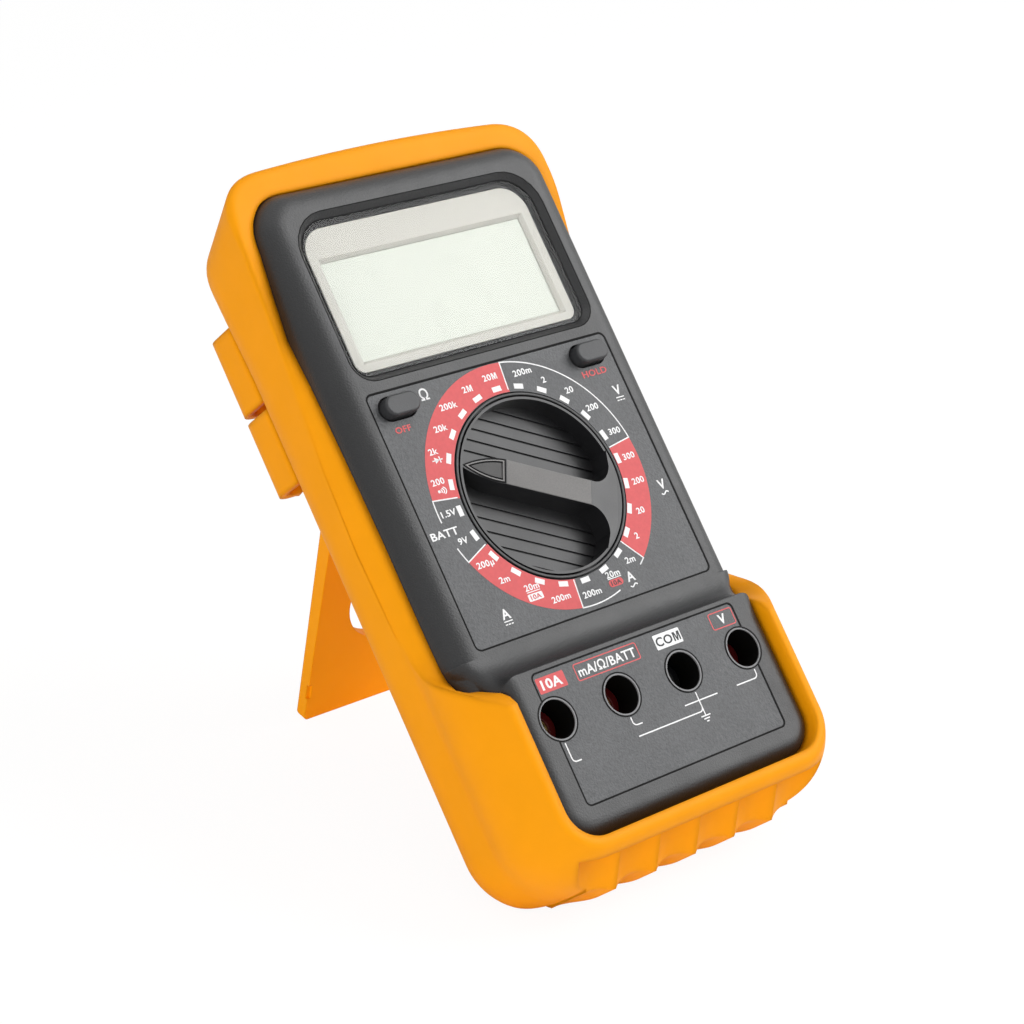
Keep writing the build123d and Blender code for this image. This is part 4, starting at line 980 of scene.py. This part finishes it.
# ---- the knob's strip and pointer --------------------------------------------
# The knob's grip bar, along its own length u: flat from the tail to the break, then falling to
# the rim by BAR_FALL per length.  Past FLANK_START its flanks draw together to a point.
KNOB_ANGLE = 152.5
BAR_HALF = 3.05
BAR_TAIL = -12.2
BAR_BREAK = 10.8
BAR_TOP = 1.9
BAR_FALL = 0.175
FLANK_START = 11.5
FLANK_BOW = 0.0325
POINT_CROWDING = 1.3

# The strip: its distance from the bar's tail, break and flanks, its corners and two heights.
STRIP_FROM_TAIL = 0.15
STRIP_FROM_BREAK = 0.35
STRIP_FROM_FLANK = 0.1
STRIP_CORNER = 0.12
STRIP_HEIGHTS = (-0.03, 0.05)

# The pointer's layers: start past the bar's break, inset from its flanks, and two heights.  The
# near-black bed is painted shade in the groove round the raised pointer, and the light rim line a
# painted highlight on its raised edge.
POINTER_GROOVE_SHADE = (-0.1, 0.05, -0.04, 0.04)
POINTER_RIM_HIGHLIGHT = (0.5, 0.62, -0.05, 0.13)
POINTER_PLATE = (1.15, 1.2, -0.05, 0.1)


def turned(points, degrees):
    """Points turned about the dial's axis by so many degrees."""
    angle = math.radians(degrees)
    matrix = np.array([[math.cos(angle), -math.sin(angle)], [math.sin(angle), math.cos(angle)]])
    points = np.array(points, float)
    points[..., :2] = points[..., :2] @ matrix.T
    return points


def on_bar(shape):
    """A shape laid along the bar: its heights drop by BAR_FALL times the length past the break,
    and all of it turns to the pointer's direction."""
    points, faces = shape
    points = np.array(points, float)
    points[:, 2] += BAR_TOP - BAR_FALL * np.clip(points[:, 0] - BAR_BREAK, 0, None)
    return turned(points, KNOB_ANGLE), faces


def pointer_outline(start, inset, steps=14):
    """Outline of the pointer, inset from the bar's flanks: half the width at length u is
    BAR_HALF - inset - FLANK_BOW * (u - FLANK_START)^2, down to a point at the rim.  The rest of
    the way to the point goes from 1 to 0 with the power POINT_CROWDING, so steps get shorter."""
    half = BAR_HALF - inset
    tip = FLANK_START + math.sqrt(half / FLANK_BOW)
    u = tip - (tip - FLANK_START) * np.linspace(1, 0, steps) ** POINT_CROWDING
    v = half - FLANK_BOW * (u - FLANK_START) ** 2
    flank = np.concatenate([[(start, half)], np.stack([u, v], -1)])
    return np.concatenate([flank, (flank * (1, -1))[-2::-1]])[::-1]


def pointer_slab(past_break, inset, low, high):
    """A filled layer of the pointer."""
    return on_bar(slab(pointer_outline(BAR_BREAK + past_break, inset), low, high))


def pointer_line(past_break, inset, low, high):
    """A line along the outline of a layer of the pointer."""
    outline = pointer_outline(BAR_BREAK + past_break, inset)
    return on_bar(stroke(outline, FINE_LINE, low, high, closed=True))


def bar_strip():
    """The strip along the bar, up to where the pointer starts."""
    half = BAR_HALF - STRIP_FROM_FLANK
    outline = rounded_corners(BAR_TAIL + STRIP_FROM_TAIL, BAR_BREAK - STRIP_FROM_BREAK, -half, half,
                              STRIP_CORNER)
    return on_bar(slab(outline, *STRIP_HEIGHTS))


class METER_OT_knob_marks(bpy.types.Operator):
    """Satin strip along the knob's bar, and the raised pointer at its end"""

    bl_idname = "meter.knob_marks"
    bl_label = "Knob marks"

    def execute(self, context):
        colours = context.scene.meter_colours
        strip, knob = tuple(colours.strip), tuple(colours.knob)
        satin = moulded("knob_strip_satin", strip, 0.5, STRIP_GRAIN, edge=0.0, specular=0.4, speckle=0.12)
        # The bed is near black as painted shade in the pointer's groove, and the rim lighter than the
        # strip as a painted highlight on its raised edge.
        dark = moulded("knob_pointer_bed", shade(knob, 0.3), 0.6, SMOOTH_GRAIN, edge=0.0, specular=0.1)
        rim = moulded("knob_pointer_rim", shade(strip, 1.3), 0.34, SMOOTH_GRAIN, edge=0.0)
        face = moulded("knob_pointer_face", shade(strip, 0.25), 0.4, STRIP_GRAIN, edge=0.0, specular=0.4)
        for name, shape, material in (("knob_strip", bar_strip(), satin),
                                      ("knob_pointer_bed", pointer_slab(*POINTER_GROOVE_SHADE), dark),
                                      ("knob_pointer_rim", pointer_line(*POINTER_RIM_HIGHLIGHT), rim),
                                      ("knob_pointer_plate", pointer_slab(*POINTER_PLATE), face)):
            add_piece(name, shape, material, body="dial")
        return {"FINISHED"}


# ---- finishes of the CAD pieces ----------------------------------------------
def outer_finishes(colours):
    """Finishes of the pieces that show, by material slot."""
    boot, case = tuple(colours.boot), tuple(colours.case)
    return {
        "boot_rubber": moulded("boot_orange", boot, 0.5, (1400.0, 0.00003), edge=0.0025,
                               specular=0.1, drift=0.02),
        # The stand is the boot's orange made lighter: painted light, where the stand gets less light.
        "stand_plastic": moulded("stand_orange", shade(boot, 1.1), 0.45, (1400.0, 0.00002),
                                 specular=0.1, drift=0.02),
        "case_plastic": moulded("case_grey", case, 0.4, (2400.0, 0.0001), specular=0.47, speckle=0.12),
        "print_sheet": moulded("sheet_grey", tuple(colours.sheet), 0.38, (1900.0, 0.00014), edge=0.0,
                               specular=0.4, speckle=0.28),
        "knob_plastic": moulded("knob_black", tuple(colours.knob), 0.34, (3200.0, 0.00002), edge=0.0,
                                specular=0.48),
        "button_plastic": moulded("button_dark", shade(case, 2.8), 0.33, (3000.0, 0.00004),
                                  edge=0.0003, specular=0.3, speckle=0.06),
        "mask": moulded("border_pale", tuple(colours.border), 0.4, (2500.0, 0.00001), edge=0.0003,
                        specular=0.2, drift=0.01),
        "display_glass": moulded("display_pale", tuple(colours.display), 0.3, (2500.0, 0.000005),
                                 edge=0.0, specular=0.2, drift=0.01),
        "clear_lens": clear("lens_clear", (0.98, 0.985, 0.98), 0.03, ior=1.2),
    }


def inner_finishes():
    """Finishes of the sockets and of the pieces inside the case, by material slot."""
    black = moulded("plastic_black", (0.012, 0.012, 0.013), 0.35)
    red = moulded("collar_red", (0.20, 0.008, 0.008), 0.4)
    white = moulded("plastic_white", (0.72, 0.72, 0.70), 0.45)
    return {
        "black_plastic": black,
        "battery_skin": black,
        "lead_black": black,
        "red_plastic": red,
        "lead_red": red,
        "white_plastic": white,
        "fuse_glass": white,
        "board_green": moulded("board_green", (0.02, 0.14, 0.05), 0.3),
        "grey_rubber": moulded("contact_rubber", (0.2, 0.2, 0.21), 0.7),
        "brass": metal("brass_bright", (0.75, 0.55, 0.22), 0.3),
        "spring_steel": metal("steel_plain", (0.55, 0.56, 0.58), 0.35),
    }


class METER_OT_finishes(bpy.types.Operator):
    """Finishes of all the moulded, metal and clear pieces"""

    bl_idname = "meter.finishes"
    bl_label = "Finishes"

    def execute(self, context):
        by_slot = {**outer_finishes(context.scene.meter_colours), **inner_finishes()}
        for part in frame["record"]["subparts"]:
            node = NODES[part["node"]]
            node.data.materials.clear()
            node.data.materials.append(by_slot[part["material_slot"]])
        return {"FINISHED"}


# ---- stage, light and camera -------------------------------------------------
# Strength of the world as a light, and half the floor's side in metres.
AMBIENT = 0.4
FLOOR_HALF = 4.0

# What the camera sees of the floor is mostly a white glow; the rest is its lit colour, which
# keeps the object's shadow.
FLOOR_GLOW = 1.05
FLOOR_GLOW_SHARE = 0.88


def white_world(ambient):
    """A world that lights softly and shows white to the eye, in gloss and through glass."""
    world = bpy.data.worlds.new("studio")
    world.use_nodes = True
    tree = world.node_tree
    back = tree.nodes["Background"]
    back.inputs["Color"].default_value = (1, 1, 1, 1)
    rays = tree.nodes.new("ShaderNodeLightPath")
    shown = rays.outputs["Is Camera Ray"]
    for kind in ("Is Glossy Ray", "Is Transmission Ray"):
        either = tree.nodes.new("ShaderNodeMath")
        either.operation = "MAXIMUM"
        tree.links.new(shown, either.inputs[0])
        tree.links.new(rays.outputs[kind], either.inputs[1])
        shown = either.outputs[0]
    strength = tree.nodes.new("ShaderNodeMapRange")
    strength.inputs["To Min"].default_value = ambient
    strength.inputs["To Max"].default_value = 1.0
    tree.links.new(shown, strength.inputs["Value"])
    tree.links.new(strength.outputs["Result"], back.inputs["Strength"])
    bpy.context.scene.world = world


def floor_finish(colour):
    """Matt floor, blended towards an even white glow for the camera only."""
    finish = Finish("floor_white", colour, 0.9)
    glow = finish.new("ShaderNodeEmission", Color=(1, 1, 1, 1), Strength=FLOOR_GLOW)
    rays = finish.new("ShaderNodeLightPath")
    share = finish.new("ShaderNodeMath", operation="MULTIPLY")
    share.inputs[1].default_value = FLOOR_GLOW_SHARE
    blend = finish.new("ShaderNodeMixShader")
    finish.link(rays.outputs["Is Camera Ray"], share.inputs[0])
    finish.link(share.outputs[0], blend.inputs["Fac"])
    finish.link(finish.shader.outputs[0], blend.inputs[1])
    finish.link(glow.outputs[0], blend.inputs[2])
    finish.link(blend.outputs[0], finish.tree.nodes["Material Output"].inputs["Surface"])
    return finish.material


def add_floor(colour):
    """A square floor under the object."""
    half = FLOOR_HALF
    mesh = bpy.data.meshes.new("floor")
    mesh.from_pydata([(-half, -half, 0), (half, -half, 0), (half, half, 0), (-half, half, 0)], [],
                     [(0, 1, 2, 3)])
    mesh.materials.append(floor_finish(colour))
    floor = bpy.data.objects.new("floor", mesh)
    bpy.context.scene.collection.objects.link(floor)


def lamp(name, direction, distance, size, power, in_gloss=True, on_colour=True):
    """A square soft light that looks at the middle of the object from a direction.  It may be
    left out of what glossy surfaces mirror, or be there for that alone."""
    data = bpy.data.lights.new(name, "AREA")
    data.shape = "SQUARE"
    data.size = size
    data.energy = power
    light = bpy.data.objects.new(name, data)
    bpy.context.scene.collection.objects.link(light)
    middle = (Vector(CAD_BOX[0]) + Vector(CAD_BOX[1])) / 2
    away = Vector(direction).normalized()
    light.location = middle + away * distance
    light.rotation_euler = away.to_track_quat("Z", "Y").to_euler()
    light.visible_glossy = in_gloss
    light.visible_diffuse = on_colour
    light.visible_transmission = on_colour


class METER_OT_stage(bpy.types.Operator):
    """White floor, white world and soft lights"""

    bl_idname = "meter.stage"
    bl_label = "Stage"

    def execute(self, context):
        white_world(AMBIENT)
        add_floor(tuple(context.scene.meter_colours.floor))
        lamp("main_light", (0.62, -0.477, 0.62), distance=1.1, size=0.66, power=7.2, in_gloss=False)
        lamp("sheen_card", (0.62, -0.45, 0.64), distance=1.1, size=1.25, power=17.0, on_colour=False)
        lamp("top_light", (-0.25, 0.1, 1.0), distance=1.2, size=1.0, power=2.0)
        lamp("left_light", (-0.88, -0.48, 0.1), distance=1.2, size=0.8, power=8.7, in_gloss=False)
        return {"FINISHED"}


# The camera stands in front of the meter's face, to the left and a little below its middle.
# Both are in the meter's own frame: its place in millimetres, and its turn, as an axis whose
# length is the angle in radians, for a camera whose Y points down and whose Z points ahead.
CAMERA_PLACE = (-392.0, -93.87, 484.84)
CAMERA_TURN = (2.685, -0.504, 0.882)
CAMERA_LENS = 97.55
CAMERA_SENSOR = 36.0
CAMERA_NEAREST = 0.01


class METER_OT_camera(bpy.types.Operator):
    """Camera at the object's main view"""

    bl_idname = "meter.camera"
    bl_label = "Camera"

    def execute(self, context):
        data = bpy.data.cameras.new("camera")
        data.lens = CAMERA_LENS
        data.sensor_width = CAMERA_SENSOR
        data.clip_start = CAMERA_NEAREST
        camera = bpy.data.objects.new("camera", data)
        context.scene.collection.objects.link(camera)
        turn = Vector(CAMERA_TURN)
        looks = Matrix.Rotation(turn.length, 3, turn.normalized())
        rows = [looks[0], -looks[1], -looks[2]]
        to_part = Matrix(AXES.tolist()).transposed()
        matrix = Matrix([to_part @ Vector(row) for row in rows]).transposed().to_4x4()
        matrix.translation = Vector(place(CAMERA_PLACE))
        camera.matrix_world = matrix
        context.scene.camera = camera
        context.scene.view_settings.view_transform = "Standard"
        return {"FINISHED"}


OPERATORS = [METER_OT_camera, METER_OT_finishes, METER_OT_sectors, METER_OT_dial_lines, METER_OT_ticks,
             METER_OT_numbers, METER_OT_units, METER_OT_symbols, METER_OT_button_marks,
             METER_OT_socket_marks, METER_OT_socket_lines, METER_OT_socket_wells, METER_OT_sheet_edge_shade,
             METER_OT_knob_marks, METER_OT_stage]


class METER_PT_panel(bpy.types.Panel):
    """Buttons for each group of pieces, and the sizes and colours"""

    bl_label = "Digital multimeter"
    bl_idname = "METER_PT_panel"
    bl_space_type = "VIEW_3D"
    bl_region_type = "UI"
    bl_category = "Meter"

    def draw(self, context):
        for operator in OPERATORS:
            self.layout.operator(operator.bl_idname)
        for group in (context.scene.meter_sizes, context.scene.meter_colours):
            for field in group.bl_rna.properties.keys():
                if field not in ("rna_type", "name"):
                    self.layout.prop(group, field)


CLASSES = [MeterSizes, MeterColours, *OPERATORS, METER_PT_panel]


def register():
    """Registers the classes and the two groups of settings."""
    for cls in CLASSES:
        bpy.utils.register_class(cls)
    bpy.types.Scene.meter_sizes = PointerProperty(type=MeterSizes)
    bpy.types.Scene.meter_colours = PointerProperty(type=MeterColours)


def unregister():
    """Takes them away again."""
    del bpy.types.Scene.meter_colours
    del bpy.types.Scene.meter_sizes
    for cls in reversed(CLASSES):
        bpy.utils.unregister_class(cls)


def main():
    """Registers the classes and makes everything in order."""
    register()
    for operator in OPERATORS:
        group, name = operator.bl_idname.split(".")
        getattr(getattr(bpy.ops, group), name)()


if __name__ == "__main__":
    main()
